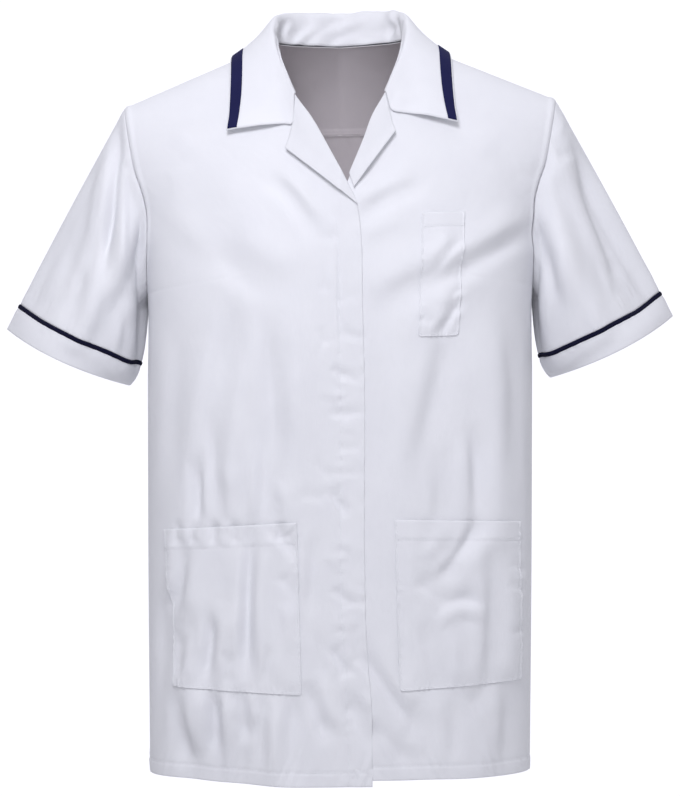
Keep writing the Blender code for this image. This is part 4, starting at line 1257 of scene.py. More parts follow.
@dataclass
class Panel:
    """A finished grid: outer points with normals, the plain points it was shaped from, and inner points."""

    outer: Array
    normals: Array
    plain: Array
    flow: Array
    inner: Array

    def side(self, column: int, rows: slice) -> Array:
        """Points of a column, each followed by its normal."""
        return join([self.outer[rows, column], self.normals[rows, column]], axis=1)

    def line(self, rows: Array | float, columns: Array | float) -> Seam:
        """Read a line of stitching at fractional rows and columns, or along one of them."""
        rows, columns = np.broadcast_arrays(np.asarray(rows, float), np.asarray(columns, float))
        return Seam(on_grid(self.outer, rows, columns), unit(on_grid(self.normals, rows, columns)))

    def hang(self, name: str, wardrobe: Wardrobe, lines: Sequence[Seam], paint_inside_shade: bool = True) -> None:
        """Sew the panel with its lines of stitching, under the name of its node."""
        shell = ClothShell("cloth_" + name, self.outer, self.inner, self.flow)
        wardrobe.sew(shell, name, self.plain, lines, paint_inside_shade=paint_inside_shade)


@dataclass
class Fronts:
    """Both fronts. The right one laps over the left with a hidden fly."""

    rows_above: int = 96
    rows_below: int = 182
    hem_rows: int = 18
    edge_columns: int = 28
    edge_step: float = 0.0013
    side_columns: int = 7
    side_zone: float = 0.01
    body_columns: int = 98
    wall: float = 0.0006
    facing: float = 0.0002
    underlap: float = 0.0009
    fly_stitch: float = 0.024
    fly_top: float = -0.188
    panels: dict[Hand, Panel] = field(default_factory=dict)

    def levels(self) -> Array:
        """Row levels, measured down from the ridge at the side, closer together at the hem.

        Returns:
            Levels of the rows.
        """
        side_height = FORM.ridge(SIDE_HALF_WIDTH)
        armpit = side_height - ARMPIT
        bottom = side_height - HEM
        upper = even(self.rows_above) ** 1.25 * armpit
        lower = np.linspace(armpit, bottom - HEM_ZONE, self.rows_below + 1)[1:]
        hem = np.linspace(bottom - HEM_ZONE, bottom, self.hem_rows + 1)[1:]
        return join([upper, lower, hem])

    def plain(self, hand: Hand) -> tuple[Array, Array, Array]:
        """Plain points of one front.

        Rows follow the shoulder at the top and grow level down to the chest. Columns keep their distance
        from the front edge, then spread evenly to the side.

        Args:
            hand: Which front.

        Returns:
            Points, distances from the front edge, and distances from the side.
        """
        levels = self.levels()[:, None]
        side_height = FORM.ridge(SIDE_HALF_WIDTH)
        slant = 1.0 - ease(SLANT_FULL, SLANT_END, levels)

        def height_at(across: Array) -> Array:
            """Height of every row at places across."""
            return side_height - levels + slant * (FORM.ridge(across) - side_height)

        inner = self.settle(lambda z: FORM.front_reach(hand, z), height_at, np.zeros_like(levels))
        outer = -self.settle(FORM.side_reach, height_at, np.full_like(levels, 0.2))
        fine = FORM.rows(Side.FRONT, inner, outer, height_at)
        lengths = row_lengths(fine)
        start = ROLL_SETBACK * ease(BREAK_HEIGHT - 0.006, BREAK_HEIGHT + 0.006, height_at(inner))
        stop = lengths[:, -1:] - SEAM_GAP / 2
        edge = start + np.arange(self.edge_columns + 1) * self.edge_step
        middle_start = edge[:, -1:]
        middle = middle_start + (stop - self.side_zone - middle_start) * even(self.body_columns)
        last = stop - self.side_zone * even(self.side_columns)[::-1]
        places = join([edge, middle[:, 1:], last[:, 1:]], axis=1)
        grid = read_rows(lengths, fine, places)
        grid[..., 0] *= -hand
        grid[0, :, 1] = -SEAM_GAP / 2
        return grid, places - start, stop - places

    @staticmethod
    def settle(across_at: Callable, height_at: Callable, start: Array) -> Array:
        """Find where each row meets an edge that is given by height, by halving steps towards it.

        Args:
            across_at: Gives the edge's place across at heights.
            height_at: Gives each row's height.
            start: First guess.

        Returns:
            Places across.
        """
        across = start
        for _ in range(40):
            across = 0.5 * across + 0.5 * across_at(height_at(across))
        return across

    def shape(self, hand: Hand) -> Panel:
        """Crease one front, press its stitch lines in, and find its inner side.

        Args:
            hand: Which front.

        Returns:
            The panel.
        """
        plain, from_edge, from_side = self.plain(hand)
        levels = self.levels()[:, None]
        from_hem = levels[-1] - levels
        normals = outward(plain, Side.FRONT)
        rise = FORM.rise(Side.FRONT, plain)
        allowance = 0.0011 * hump((from_side - 0.0042) / 0.0026)
        rise += allowance * ease(ARMPIT, ARMPIT + 0.05, plain[..., 2])
        rise += groove(from_side) + groove(levels - levels[0]) + hem_relief(from_hem)
        side_on = ease(0.0, 0.02, from_side)
        slanted = from_edge + 0.35 * from_hem
        rise += side_on * puckers(slanted, from_hem - 0.012, 0.0125, 0.0008, 0.016, 1.0 + hand)
        below = 1.0 - ease(-0.2, -0.175, plain[..., 2])
        if hand == Hand.RIGHT:
            from_fly = from_edge - self.fly_stitch
            rise -= 0.00045 * below * hump(from_fly / STITCH_REACH)
            rise += below * puckers(levels, from_fly, 0.0145, 0.0006, 0.006, 0.4)
            rise += below * puckers(levels + 0.4 * from_edge, from_edge, 0.021, 0.0005, 0.01, 2.3)
        grid = plain + normals * rise[..., None]
        if hand == Hand.LEFT:
            sink = self.underlap * (1.0 - ease(LAP_FULL, LAP_END, grid[..., 0]))
            sink = sink * (1.0 - ease(-0.135, -0.11, grid[..., 2]))
            grid = grid - normals * sink[..., None]
        else:
            drop = FRONT_DROP * (1.0 - ease(0.03, 0.19, np.abs(grid[..., 0])))
            grid[..., 2] -= drop * (1.0 - ease(HEM, HEM + 0.1, grid[..., 2]))
        normals = outward(grid, Side.FRONT)
        squared(normals, 0, slice(None), 1)
        squared(normals, slice(self.rows_above, None), -1, 1)
        turned = 1.0 - ease(HEM_STITCH, HEM_STITCH + 0.002, from_hem + 0.0 * from_edge)
        if hand == Hand.RIGHT:
            faced = below * (1.0 - ease(self.fly_stitch, self.fly_stitch + 0.003, from_edge))
            turned = np.maximum(turned, faced)
        wall = self.wall + self.facing * turned
        return Panel(grid, normals, plain, flow_of(from_edge, levels), grid - normals * wall[..., None])

    def seams(self, hand: Hand) -> list[Seam]:
        """Lines of stitching on one front: hem, shoulder and fly.

        Args:
            hand: Which front.

        Returns:
            The lines.
        """
        panel = self.panels[hand]
        rows, columns = panel.outer.shape[:2]
        hem_row = rows - 1 - HEM_STITCH / HEM_ZONE * self.hem_rows
        lines = [panel.line(hem_row, np.linspace(1.0, columns - 2.0, 320))]
        if hand == Hand.RIGHT:
            first = int(np.argmax(panel.plain[:, 0, 2] < self.fly_top))
            lines.append(panel.line(np.linspace(first, rows - 2.0, 500), self.fly_stitch / self.edge_step))
        return lines

    def build(self, wardrobe: Wardrobe) -> None:
        """Make both fronts and their stitching.

        Args:
            wardrobe: Gives the finishes.
        """
        for hand in Hand:
            self.panels[hand] = self.shape(hand)
            self.panels[hand].hang("front_" + hand.word, wardrobe, self.seams(hand))


@dataclass
class Back:
    """Back yoke and back, which meet at the yoke seam."""

    columns: int = 180
    yoke_rows: int = 60
    rows_above: int = 76
    rows_below: int = 176
    hem_rows: int = 14
    yoke_stitch: float = 0.0025
    allowance: float = 0.0045
    wall: float = 0.0008
    yoke: Panel | None = None
    back: Panel | None = None

    def shares(self) -> Array:
        """Shares of a row, closer together at both sides."""
        share = even(self.columns)
        return share - 0.5 * np.sin(2 * np.pi * share) / (2 * np.pi)

    def shape_yoke(self) -> Panel:
        """Yoke from the shoulder ridge and the neck down to its seam.

        Returns:
            The panel.
        """
        step = (1.0 - (1.0 - even(self.yoke_rows) ** 1.7) ** 1.6)[:, None]
        reach = by_height(ARMHOLE, SHOULDER_SEAM_END + step * (YOKE_SEAM - SHOULDER_SEAM_END))
        across = (2.0 * self.shares() - 1.0) * reach
        top = np.minimum(FORM.ridge(across), BACK_NECK_HEIGHT)
        height = top + step * (YOKE_SEAM - top)
        plain = FORM.points(Side.BACK, across, height)
        plain[0, :, 1] = np.maximum(plain[0, :, 1], SEAM_GAP / 2)
        normals = outward(plain, Side.BACK)
        drop = (height - YOKE_SEAM) + 0.0 * across
        rise = groove(drop) + groove(top - height) + groove(reach - np.abs(across))
        rise += puckers(across, drop - 0.004, 0.011, 0.0003, 0.006, 0.9)
        grid = plain + normals * rise[..., None]
        normals = outward(grid, Side.BACK)
        squared(normals, 0, np.abs(grid[0, :, 0]) > NECK_POINT, 1)
        wall = self.wall + 0.0005 * (1.0 - ease(self.allowance, self.allowance + 0.0012, drop))
        return Panel(grid, normals, plain, flow_of(across, -height), grid - normals * wall[..., None])

    def shape_back(self) -> Panel:
        """Back from the yoke seam down to the hem.

        Returns:
            The panel.
        """
        upper = YOKE_SEAM + (ARMPIT - YOKE_SEAM) * even(self.rows_above) ** 1.5
        lower = np.linspace(ARMPIT, HEM + HEM_ZONE, self.rows_below + 1)[1:]
        hem = np.linspace(HEM + HEM_ZONE, HEM, self.hem_rows + 1)[1:]
        levels = join([upper, lower, hem])[:, None]
        reach = FORM.side_reach(levels)
        fine = FORM.rows(Side.BACK, -reach, reach, lambda across: levels + 0.0 * across)
        lengths = row_lengths(fine)
        start = SEAM_GAP / 2
        places = start + (lengths[:, -1:] - 2 * start) * self.shares()
        plain = read_rows(lengths, fine, places)
        normals = outward(plain, Side.BACK)
        from_hem = levels - HEM
        from_yoke = YOKE_SEAM - levels
        from_side = np.minimum(places, lengths[:, -1:] - places)
        rise = FORM.rise(Side.BACK, plain)
        rise += groove(from_side) + groove(from_yoke) + hem_relief(from_hem)
        calm = ease(0.0, 0.02, from_side)
        rise += calm * puckers(places - 0.3 * from_hem, from_hem - 0.012, 0.0135, 0.0008, 0.017, 3.1)
        rise += calm * puckers(places, from_yoke, 0.013, 0.0006, 0.014, 1.9)
        grid = plain + normals * rise[..., None]
        normals = outward(grid, Side.BACK)
        squared(normals, slice(self.rows_above, None), 0, 1)
        squared(normals, slice(self.rows_above, None), -1, 1)
        turned = 1.0 - ease(HEM_STITCH, HEM_STITCH + 0.002, from_hem + 0.0 * places)
        wall = self.wall + 0.0004 * turned + 0.0005 * (1.0 - ease(0.0, 0.0035, from_yoke))
        return Panel(grid, normals, plain, flow_of(places, -levels), grid - normals * wall[..., None])

    def build(self, wardrobe: Wardrobe) -> None:
        """Make the yoke, the back and their stitching.

        Args:
            wardrobe: Gives the finishes.
        """
        self.yoke, self.back = self.shape_yoke(), self.shape_back()
        drops = -self.yoke.plain[:, self.columns // 2, 2]
        seam_row = np.interp(-(YOKE_SEAM + self.yoke_stitch), drops, np.arange(len(drops)))
        hem_row = len(self.back.outer) - 1 - HEM_STITCH / HEM_ZONE * self.hem_rows
        across = np.linspace(1.0, self.columns - 1.0, 420)
        self.yoke.hang("back_yoke", wardrobe, [self.yoke.line(seam_row, across)])
        self.back.hang("back", wardrobe, [self.back.line(hem_row, across)])


@dataclass
class Sleeve:
    """Short sleeve set into its armhole, with a piped band at its end."""

    hand: Hand
    half_columns: int = 72
    rows: int = 96
    cuff_outer: Place = (0.3428, -0.2866)
    cuff_inner: Place = (0.2177, -0.3468)
    cuff_half_depth: float = 0.062
    cuff_front_drop: float = 0.0055
    cuff_shift: float = 0.004
    cuff_crease: float = 0.75
    swell: float = 0.01
    top_swell: float = 0.003
    underarm_pull: Place = (0.1987, -0.342)
    cuff_depth: float = 0.0245
    piping_width: float = 0.0046
    cuff_stitch: float = 0.0016
    cuff_rows: int = 20
    wall: float = 0.0008
    radius: float = 0.09
    length: float = 0.17
    shown_length: float = 0.145
    turns: Array = field(init=False)
    loop_normals: Array = field(init=False)

    def __post_init__(self) -> None:
        """Spread the columns evenly round the sleeve."""
        self.turns = np.linspace(0.0, 2 * np.pi, 2 * self.half_columns + 1)[:-1]

    def loop(self, front: Panel, armpit_row: int, back: Back) -> Pair:
        """Seam points of the armhole, evenly down the front and up the back.

        Args:
            front: The front on this side.
            armpit_row: Row of the front that ends at the armpit.
            back: The yoke and the back.

        Returns:
            Points and normals round the armhole.
        """
        column = -1 if self.hand == Hand.LEFT else 0
        down = front.side(-1, slice(armpit_row + 1))
        up_back = back.back.side(column, slice(1, back.rows_above))[::-1]
        up_yoke = back.yoke.side(column, slice(1, None))[::-1]
        up = join([down[-1:], up_back, up_yoke, down[:1]])
        halves = []
        for line in (down, up):
            lengths = row_lengths(line[None, :, :3])
            wanted = np.linspace(0.0, lengths[0, -1], self.half_columns + 1)[None]
            halves.append(read_rows(lengths, line[None], wanted)[0, :-1])
        both = join(halves)
        both[0, 1] = 0.0
        both[self.half_columns, 1] = 0.0
        both[0, 3:] = unit(both[0, 3:] + back.yoke.normals[0, column])
        return both[:, :3], unit(both[:, 3:])

    def end_ring(self) -> Array:
        """Sleeve end: an oval square to the sleeve, creased at both ends, its front a little lower.

        Returns:
            Points of the ring.
        """
        ends = (self.cuff_outer, self.cuff_inner)
        outer, inner = (np.array([across, 0.0, height]) for across, height in ends)
        middle = (outer + inner) / 2 + np.array([0.0, self.cuff_shift, 0.0])
        half = (outer - inner) / 2
        across = unit(half)
        axis = np.array([across[2], 0.0, -across[0]])
        forward = np.array([0.0, -self.cuff_half_depth, 0.0]) + self.cuff_front_drop * axis
        straight = 1.0 - 2.0 * np.minimum(self.turns, 2 * np.pi - self.turns) / np.pi
        cosine = (1.0 - self.cuff_crease) * np.cos(self.turns) + self.cuff_crease * straight
        ring = middle + cosine[:, None] * half + np.sin(self.turns)[:, None] * forward
        ring[:, 0] *= self.hand
        return ring

    def tube(self, loop: Array) -> Array:
        """Sleeve from the armhole to its end, each column a curve of one middle point, its belly out.

        Args:
            loop: Seam points.

        Returns:
            Rings of points.
        """
        end = self.end_ring()
        cosine = np.cos(self.turns)
        inner_share = np.clip(-cosine, 0.0, 1.0)[:, None] ** 4
        middle = (loop + end) / 2
        middle[:, 1:2] -= self.swell * np.sin(self.turns)[:, None] ** 3
        middle[:, 0] += self.hand * self.top_swell * np.maximum(cosine, 0.0)
        pull = middle.copy()
        pull[:, 0] = self.hand * self.underarm_pull[0]
        pull[:, 2] = self.underarm_pull[1]
        middle = middle * (1 - inner_share) + pull * inner_share
        share = even(self.rows)[:, None, None]
        return (1 - share) ** 2 * loop + 2 * share * (1 - share) * middle + share ** 2 * end

    def raised(self, tube: Array) -> Array:
        """Height of the sleeve's folds, front creases and seam puckers.

        Args:
            tube: Plain rings.

        Returns:
            Heights out.
        """
        degrees = np.degrees(self.turns)[None, :]
        share = even(self.rows)[:, None]
        total = np.zeros(tube.shape[:2])
        for turn, start, end, width, height in SLEEVE_FOLDS + SLEEVE_BACK_FOLDS:
            window = ease(start - 0.12, start + 0.12, share) * (1 - ease(end - 0.15, end + 0.15, share))
            total += height * hump((degrees - turn) / width) * window
        x, z = VIEW.seen(FORM.lean(tube))
        sine = np.sin(self.turns)
        under = np.where(np.cos(self.turns) < 0.0, ease(-0.1, 0.12, sine), ease(0.0, 0.35, sine))
        total += total_rise(SLEEVE_CREASES[self.hand], x, z) * under[None]
        total *= 1.0 - ease(0.88, 0.98, share)
        total *= ease(0.0, 0.08, share)
        around = self.turns[None, :] * self.radius
        from_end = (1.0 - share) * self.length - self.cuff_depth - self.piping_width
        drawn = puckers(around, from_end, 0.0105, 0.0007, 0.01, 0.7 + self.hand)
        gathered = puckers(around, share * self.length, 0.012, 0.0006, 0.009, 2.0 + self.hand)
        total += drawn * ease(-0.002, 0.002, from_end) + gathered * ease(0.0, 0.02, share)
        return total

    def stretch(self, tube: Array, start: Array | float, stop: Array | float, count: int) -> Array:
        """Rings between two distances back from the sleeve's end.

        Args:
            tube: Whole tube.
            start: Distance where the rings start, or none for the seam.
            stop: Distance where they stop.
            count: Steps between them.

        Returns:
            Rings.
        """
        columns = np.swapaxes(tube, 0, 1)
        lengths = row_lengths(columns)
        whole = lengths[:, -1:]
        first = np.zeros_like(whole) if start is None else whole - start
        last = whole - stop
        wanted = first + (last - first) * even(count)
        return np.swapaxes(read_rows(lengths, columns, wanted), 0, 1)

    def part(self, kind: str, rings: Array, proud: Array) -> tuple[ClothShell, Array]:
        """Shell of one part of the sleeve.

        Args:
            kind: Name of the part.
            rings: Its middle surface.
            proud: Height of its outer skin over the rings.

        Returns:
            The shell and its normals.
        """
        normals = ring_outward(rings)
        if kind == "sleeve":
            near = ease(0.35, 0.75, np.cos(self.turns))[:, None]
            normals[0] = unit(normals[0] * (1 - near) + self.loop_normals * near)
        lengths = row_lengths(join([rings, rings[:, :1]], axis=1))[:, :-1]
        down = even(len(rings) - 1)[:, None] * np.linalg.norm(rings[-1] - rings[0], axis=1).mean()
        flow = flow_of(lengths, down, ring=True)
        outer = rings + normals * proud[..., None]
        name = f"cloth_{kind}_{self.hand.word}"
        return ClothShell(name, outer, rings - normals * self.wall, flow, ring=True), normals

    def build(self, front: Panel, armpit_row: int, back: Back, wardrobe: Wardrobe) -> None:
        """Make the sleeve, its piping and its band.

        Args:
            front: The front on this side.
            armpit_row: Row of the front that ends at the armpit.
            back: The yoke and the back.
            wardrobe: Gives the finishes.
        """
        loop, self.loop_normals = self.loop(front, armpit_row, back)
        tube = self.tube(loop)
        tube = tube + ring_outward(tube) * self.raised(tube)[..., None]
        tube[0, :, 0] += self.hand * 0.3 * SEAM_GAP
        word = self.hand.word
        top = self.cuff_depth + self.piping_width
        round_top = np.sqrt(1.0 - np.linspace(-0.98, 0.98, 7) ** 2)[:, None]
        strip = self.stretch(tube, top, self.cuff_depth, len(round_top) - 1)
        piping, _ = self.part("piping", strip, 0.0001 + 0.0009 * round_top)
        trim = wardrobe.trim(piping, "piping", "sleeve_piping_" + word)
        body = self.stretch(tube, None, top - 0.7 * SEAM_GAP, self.rows)
        from_seam = np.linspace(0.0, self.shown_length, len(body))[:, None]
        dip = groove(from_seam) - SEAM_DIP * hump((self.shown_length - from_seam) / STITCH_REACH)
        sleeve, _ = self.part("sleeve", body, dip)
        wardrobe.sew(sleeve, "sleeve_" + word, body, trims=[trim])
        band = self.stretch(tube, self.cuff_depth + 0.7 * SEAM_GAP, 0.0, self.cuff_rows)
        place = np.linspace(0.0, self.cuff_depth, len(band))[:, None]
        proud = 0.0005 - SEAM_DIP * hump((place - self.cuff_stitch) / 0.0013) + 0.0 * self.turns[None]
        proud = proud + puckers(self.turns[None] * 0.05, place - 0.004, 0.0112, 0.0003, 0.008, 1.1)
        cuff, normals = self.part("cuff", band, proud)
        grids = [join([grid, grid[:, :1]], axis=1) for grid in (cuff.outer, normals)]
        panel = Panel(*grids, band, cuff.flow, cuff.inner)
        row = self.cuff_stitch / self.cuff_depth * self.cuff_rows
        lines = [panel.line(row, np.linspace(0.0, band.shape[1], 400))]
        wardrobe.sew(cuff, "cuff_" + word, band, lines)


@dataclass
class Collar:
    """Open revere collar in one piece, with a navy band along its outer edge."""

    # Roll across, roll forward or back, roll height, neck place, edge across, root of the edge's drop
    stations: tuple = (
        (0.0, 0.066, 0.04, 0.0, 0.0, 0.224), (0.04, 0.057, 0.04, 0.038, 0.043, 0.19),
        (0.059, 0.035, 0.037, 0.056, 0.075, 0.142), (0.067, 0.008, 0.029, 0.0655, 0.104, 0.108),
        (0.0675, -0.018, 0.012, 0.066, 0.1108, -0.056), (0.0635, -0.038, -0.008, 0.0645, 0.112, -0.145),
        (0.053, -0.058, -0.038, 0.056, 0.1126, -0.22), (0.0455, -0.068, -0.056, 0.0475, 0.113, -0.283),
    )
    columns: int = 13
    stand_steps: int = 4
    fall_steps: tuple = (0.0706, 0.1647, 0.3059, 0.4706, 0.6471, 0.8235)
    row_cuts: int = 6
    column_cuts: tuple = (4, 4, 4, 4, 2, 2, 4, 5, 5, 5, 5, 8, 2)
    roll_turn: float = 0.005
    belly: float = 0.001
    clear: float = 0.0012
    ridge_clear: float = 0.0012
    ridge_reach: float = 0.016
    band_inset: float = 0.0012
    band_width: float = 0.009
    band_wall: float = 0.0006
    end_lift: float = 0.0048
    edge_lift: float = 0.0008
    gorge_top: Place = (0.0455, -0.056)
    notches: tuple[Place, Place] = ((0.047, -0.087), (0.0515, -0.076))
    tips: tuple[Place, Place] = ((0.112, -0.096), (0.117, -0.091))
    end_reach: float = 0.011
    edge_reach: float = 0.012
    samples: Pair = field(init=False)

    def __post_init__(self) -> None:
        """Take close points of the upper shell and their normals, which keep the collar clear of it."""
        across, root = np.meshgrid(np.linspace(-0.2, 0.2, 121), np.linspace(0.0, 0.5, 91))
        grids = [FORM.points(side, across, FORM.ridge(across) - root ** 2) for side in Side]
        normals = [outward(grid, side) for grid, side in zip(grids, Side)]
        self.samples = (join(grids).reshape(-1, 3), join(normals).reshape(-1, 3))

    def notch(self, hand: Hand) -> Array:
        """Place of the notch on a side."""
        return np.array(self.notches[hand == Hand.LEFT])

    def point(self, hand: Hand) -> Array:
        """Place of the collar point on a side."""
        return np.array(self.tips[hand == Hand.LEFT])

    def lifted(self, points: Array) -> Array:
        """Move points out where they lie too close to the shell.

        Args:
            points: Points to test.

        Returns:
            Points at least the clearance out from their nearest sample.
        """
        flat = points.reshape(-1, 3).copy()
        spots, normals = self.samples
        for _ in range(3):
            nearest = np.linalg.norm(flat[:, None] - spots, axis=2).argmin(axis=1)
            height = np.sum((flat - spots[nearest]) * normals[nearest], axis=1)
            wanted = self.clear + self.ridge_clear * hump(flat[:, 1] / self.ridge_reach)
            flat += normals[nearest] * np.maximum(wanted - height, 0.0)[:, None]
        return flat.reshape(points.shape)

    def neck_line(self, hand: Hand, places: Array, shares: Array) -> Array:
        """Neck seam: round the back neck, then down the roll line inside the front.

        Args:
            hand: Side of the collar.
            places: Neck places across at the back.
            shares: Shares of the collar's length.

        Returns:
            Points of the seam.
        """
        turn = 3.0 / 7.0
        back = FORM.points(Side.BACK, np.minimum(places, NECK_POINT), BACK_NECK_HEIGHT)
        part = np.clip((shares - turn) / (1.0 - turn), 0.0, 1.0)
        height = BACK_NECK_HEIGHT + part ** 1.35 * (self.gorge_top[1] - BACK_NECK_HEIGHT)
        front = FORM.points(Side.FRONT, -FORM.front_reach(hand, height), height)
        behind = back + np.array([0.0, -0.0006, 0.0006])
        ahead = front + np.array([-0.0012, 0.0008, 0.0006])
        return np.where((shares <= turn)[:, None], behind, ahead)

    def half(self, hand: Hand) -> Array:
        """Underside of half the collar: from the neck seam up the stand, over the roll, down the fall.

        Stand and fall are cubic curves whose handles lie along the roll's own sideways direction.

        Args:
            hand: Side of the collar.

        Returns:
            Coarse grid, rows from the centre back to the gorge.
        """
        table = np.array(self.stations)
        wanted = even(self.columns)
        rows = curve_through(even(len(table) - 1), table, wanted)
        roll = rows[:, 0:3]
        travel = unit(np.gradient(roll, axis=0))
        reach = rows[:, 4] * (1 + (self.point(hand)[0] / self.stations[-1][4] - 1) * wanted ** 2)
        height = FORM.ridge(reach) - rows[:, 5] ** 2
        behind = FORM.points(Side.BACK, reach, height)
        ahead = FORM.points(Side.FRONT, reach, height)
        edge = self.lifted(np.where(rows[:, 5:6] > 0, behind, ahead))
        seam = self.neck_line(hand, rows[:, 3], wanted)
        up = unit(2 * roll - seam - edge)
        aside = unit(np.cross(travel, up))
        aside *= np.where(np.sum(aside * (edge - seam), axis=1, keepdims=True) < 0, -1.0, 1.0)
        base = roll - CLOTH * up
        rise = np.linalg.norm(base - seam, axis=1, keepdims=True)
        turn = np.minimum(self.roll_turn, 0.35 * rise)
        length = np.linalg.norm(edge - base, axis=1, keepdims=True)
        inner = 1 - (self.band_inset + self.band_width) / length
        shares = [step * inner for step in self.fall_steps]
        shares += [inner, 1 - self.band_inset / length, np.ones_like(inner)]
        stand = self.cubic(seam, seam + 0.5 * (base - seam), base - turn * aside, base,
                           np.tile(even(self.stand_steps), (len(base), 1)))
        fall = self.cubic(base, base + turn * aside, edge + 0.5 * (base - edge) + self.belly * up, edge,
                          join(shares, axis=1))
        grid = join([stand, fall], axis=1)
        end = self.end(hand, grid[-1, self.stand_steps:])
        pull = ease(0.62, 1.0, wanted)[:, None, None] ** 1.5
        grid[:, self.stand_steps:] += pull * (end - grid[-1, self.stand_steps:])[None]
        grid[:, self.stand_steps + 1:] = self.lifted(grid[:, self.stand_steps + 1:])
        grid[..., 0] *= hand
        return grid

    @staticmethod
    def cubic(start: Array, first: Array, second: Array, end: Array, share: Array) -> Array:
        """Cubic curves through their end points, one for each row, shaped by two handles.

        Args:
            start: Starts.
            first: Handles at the starts.
            second: Handles at the ends.
            end: Ends.
            share: Shares along each curve.

        Returns:
            Points, one row for each curve.
        """
        share = share[..., None]
        start, first, second, end = (item[:, None] for item in (start, first, second, end))
        return ((1 - share) ** 3 * start + 3 * share * (1 - share) ** 2 * first
                + 3 * share ** 2 * (1 - share) * second + share ** 3 * end)

    def end(self, hand: Hand, line: Array) -> Array:
        """End of the collar: down the gorge seam to the notch, then out to the collar point.

        Args:
            hand: Side of the collar.
            line: Last row of the fall, which gives the spacing.

        Returns:
            Points of the end.
        """
        start = np.array(self.gorge_top)
        notch = self.notch(hand)
        point = self.point(hand)
        share = row_lengths(line[None])[0]
        first = np.linalg.norm(notch - start)
        whole = first + np.linalg.norm(point - notch)
        share *= (1 - (self.band_inset + self.band_width) / whole) / share[-3]
        share[-2:] = (1 - self.band_inset / whole, 1.0)
        turn = first / whole
        share[np.abs(share - turn).argmin()] = turn
        before = start + (notch - start) * (share / turn)[:, None]
        after = notch + (point - notch) * ((share - turn) / (1 - turn))[:, None]
        places = np.where(share[:, None] <= turn, before, after)
        sign = int(hand)
        points, _ = FORM.front(sign * places[:, 0], places[:, 1], self.clear)
        points[:, 0] *= sign
        points[0] = line[0]
        return points

    def raised(self, grid: Array, along: Array, over: Array) -> Array:
        """Height of the collar's creases, and of its ends that stand off the fronts.

        Args:
            grid: Points of the underside.
            along: Distances along the collar.
            over: Distances from the neck seam.

        Returns:
            Heights out.
        """
        run = (along - along.mean()) / MM + 0.0 * over
        drop = over / MM + 0.0 * along
        stand = total_rise(STAND_CREASES, run, drop)
        x, z = VIEW.seen(FORM.lean(grid))
        fall = total_rise(COLLAR_CREASES, x, z)
        length = along[-1, 0] - along[0, 0]
        from_end = np.minimum(along - along[0], along[-1] - along)
        free = hump(from_end / self.end_reach) * ease(0.58, 0.74, over / over[0, -1])
        edge = hump((over[0, -1] - over) / self.edge_reach) * ease(0.1, 0.25, from_end / length)
        return stand + fall + self.end_lift * free + self.edge_lift * edge

    def build(self, wardrobe: Wardrobe) -> None:
        """Make the collar and its band.

        Args:
            wardrobe: Gives the finishes.
        """
        coarse = join([self.half(Hand.RIGHT)[::-1], self.half(Hand.LEFT)[1:]])
        cuts = self.column_cuts
        grid = refined(coarse, [self.row_cuts] * (len(coarse) - 1), cuts)
        normals = grid_normals(grid)
        if normals[len(grid) // 2, -1, 1] < 0:
            normals = -normals
        top = grid + CLOTH * normals
        along = row_lengths(np.swapaxes(grid, 0, 1))[len(grid[0]) // 2][:, None]
        over = row_lengths(grid)[len(grid) // 2][None, :]
        flow = flow_of(over, along)
        stand = sum(cuts[:self.stand_steps])
        inside = hump((np.arange(grid.shape[1]) - 0.45 * stand) / (0.5 * stand))[None, :]
        ripple = puckers(along + 0.6 * over, over * 0.0, 0.034, 0.0009, 1.0, 1.3) * inside
        rise = self.raised(grid, along, over) - ripple
        top = top + normals * rise[..., None]
        grid = grid + normals * rise[..., None]
        start = sum(cuts[:-2])
        band = slice(start, start + cuts[-2] + 1)
        base = top[:, band] + 0.0001 * normals[:, band]
        base[0] += 0.4 * (base[1] - base[0])
        base[-1] += 0.4 * (base[-2] - base[-1])
        cover = base + self.band_wall * normals[:, band]
        strips = [ClothShell("cloth_collar_band", cover, base, flow[:, band])]
        trims = (wardrobe.trim(strip, "navy", "collar_trim") for strip in strips)
        shell = ClothShell("cloth_collar", top, grid, flow, edge_pull=0.2)
        wardrobe.sew(shell, "collar", grid, trims=trims)


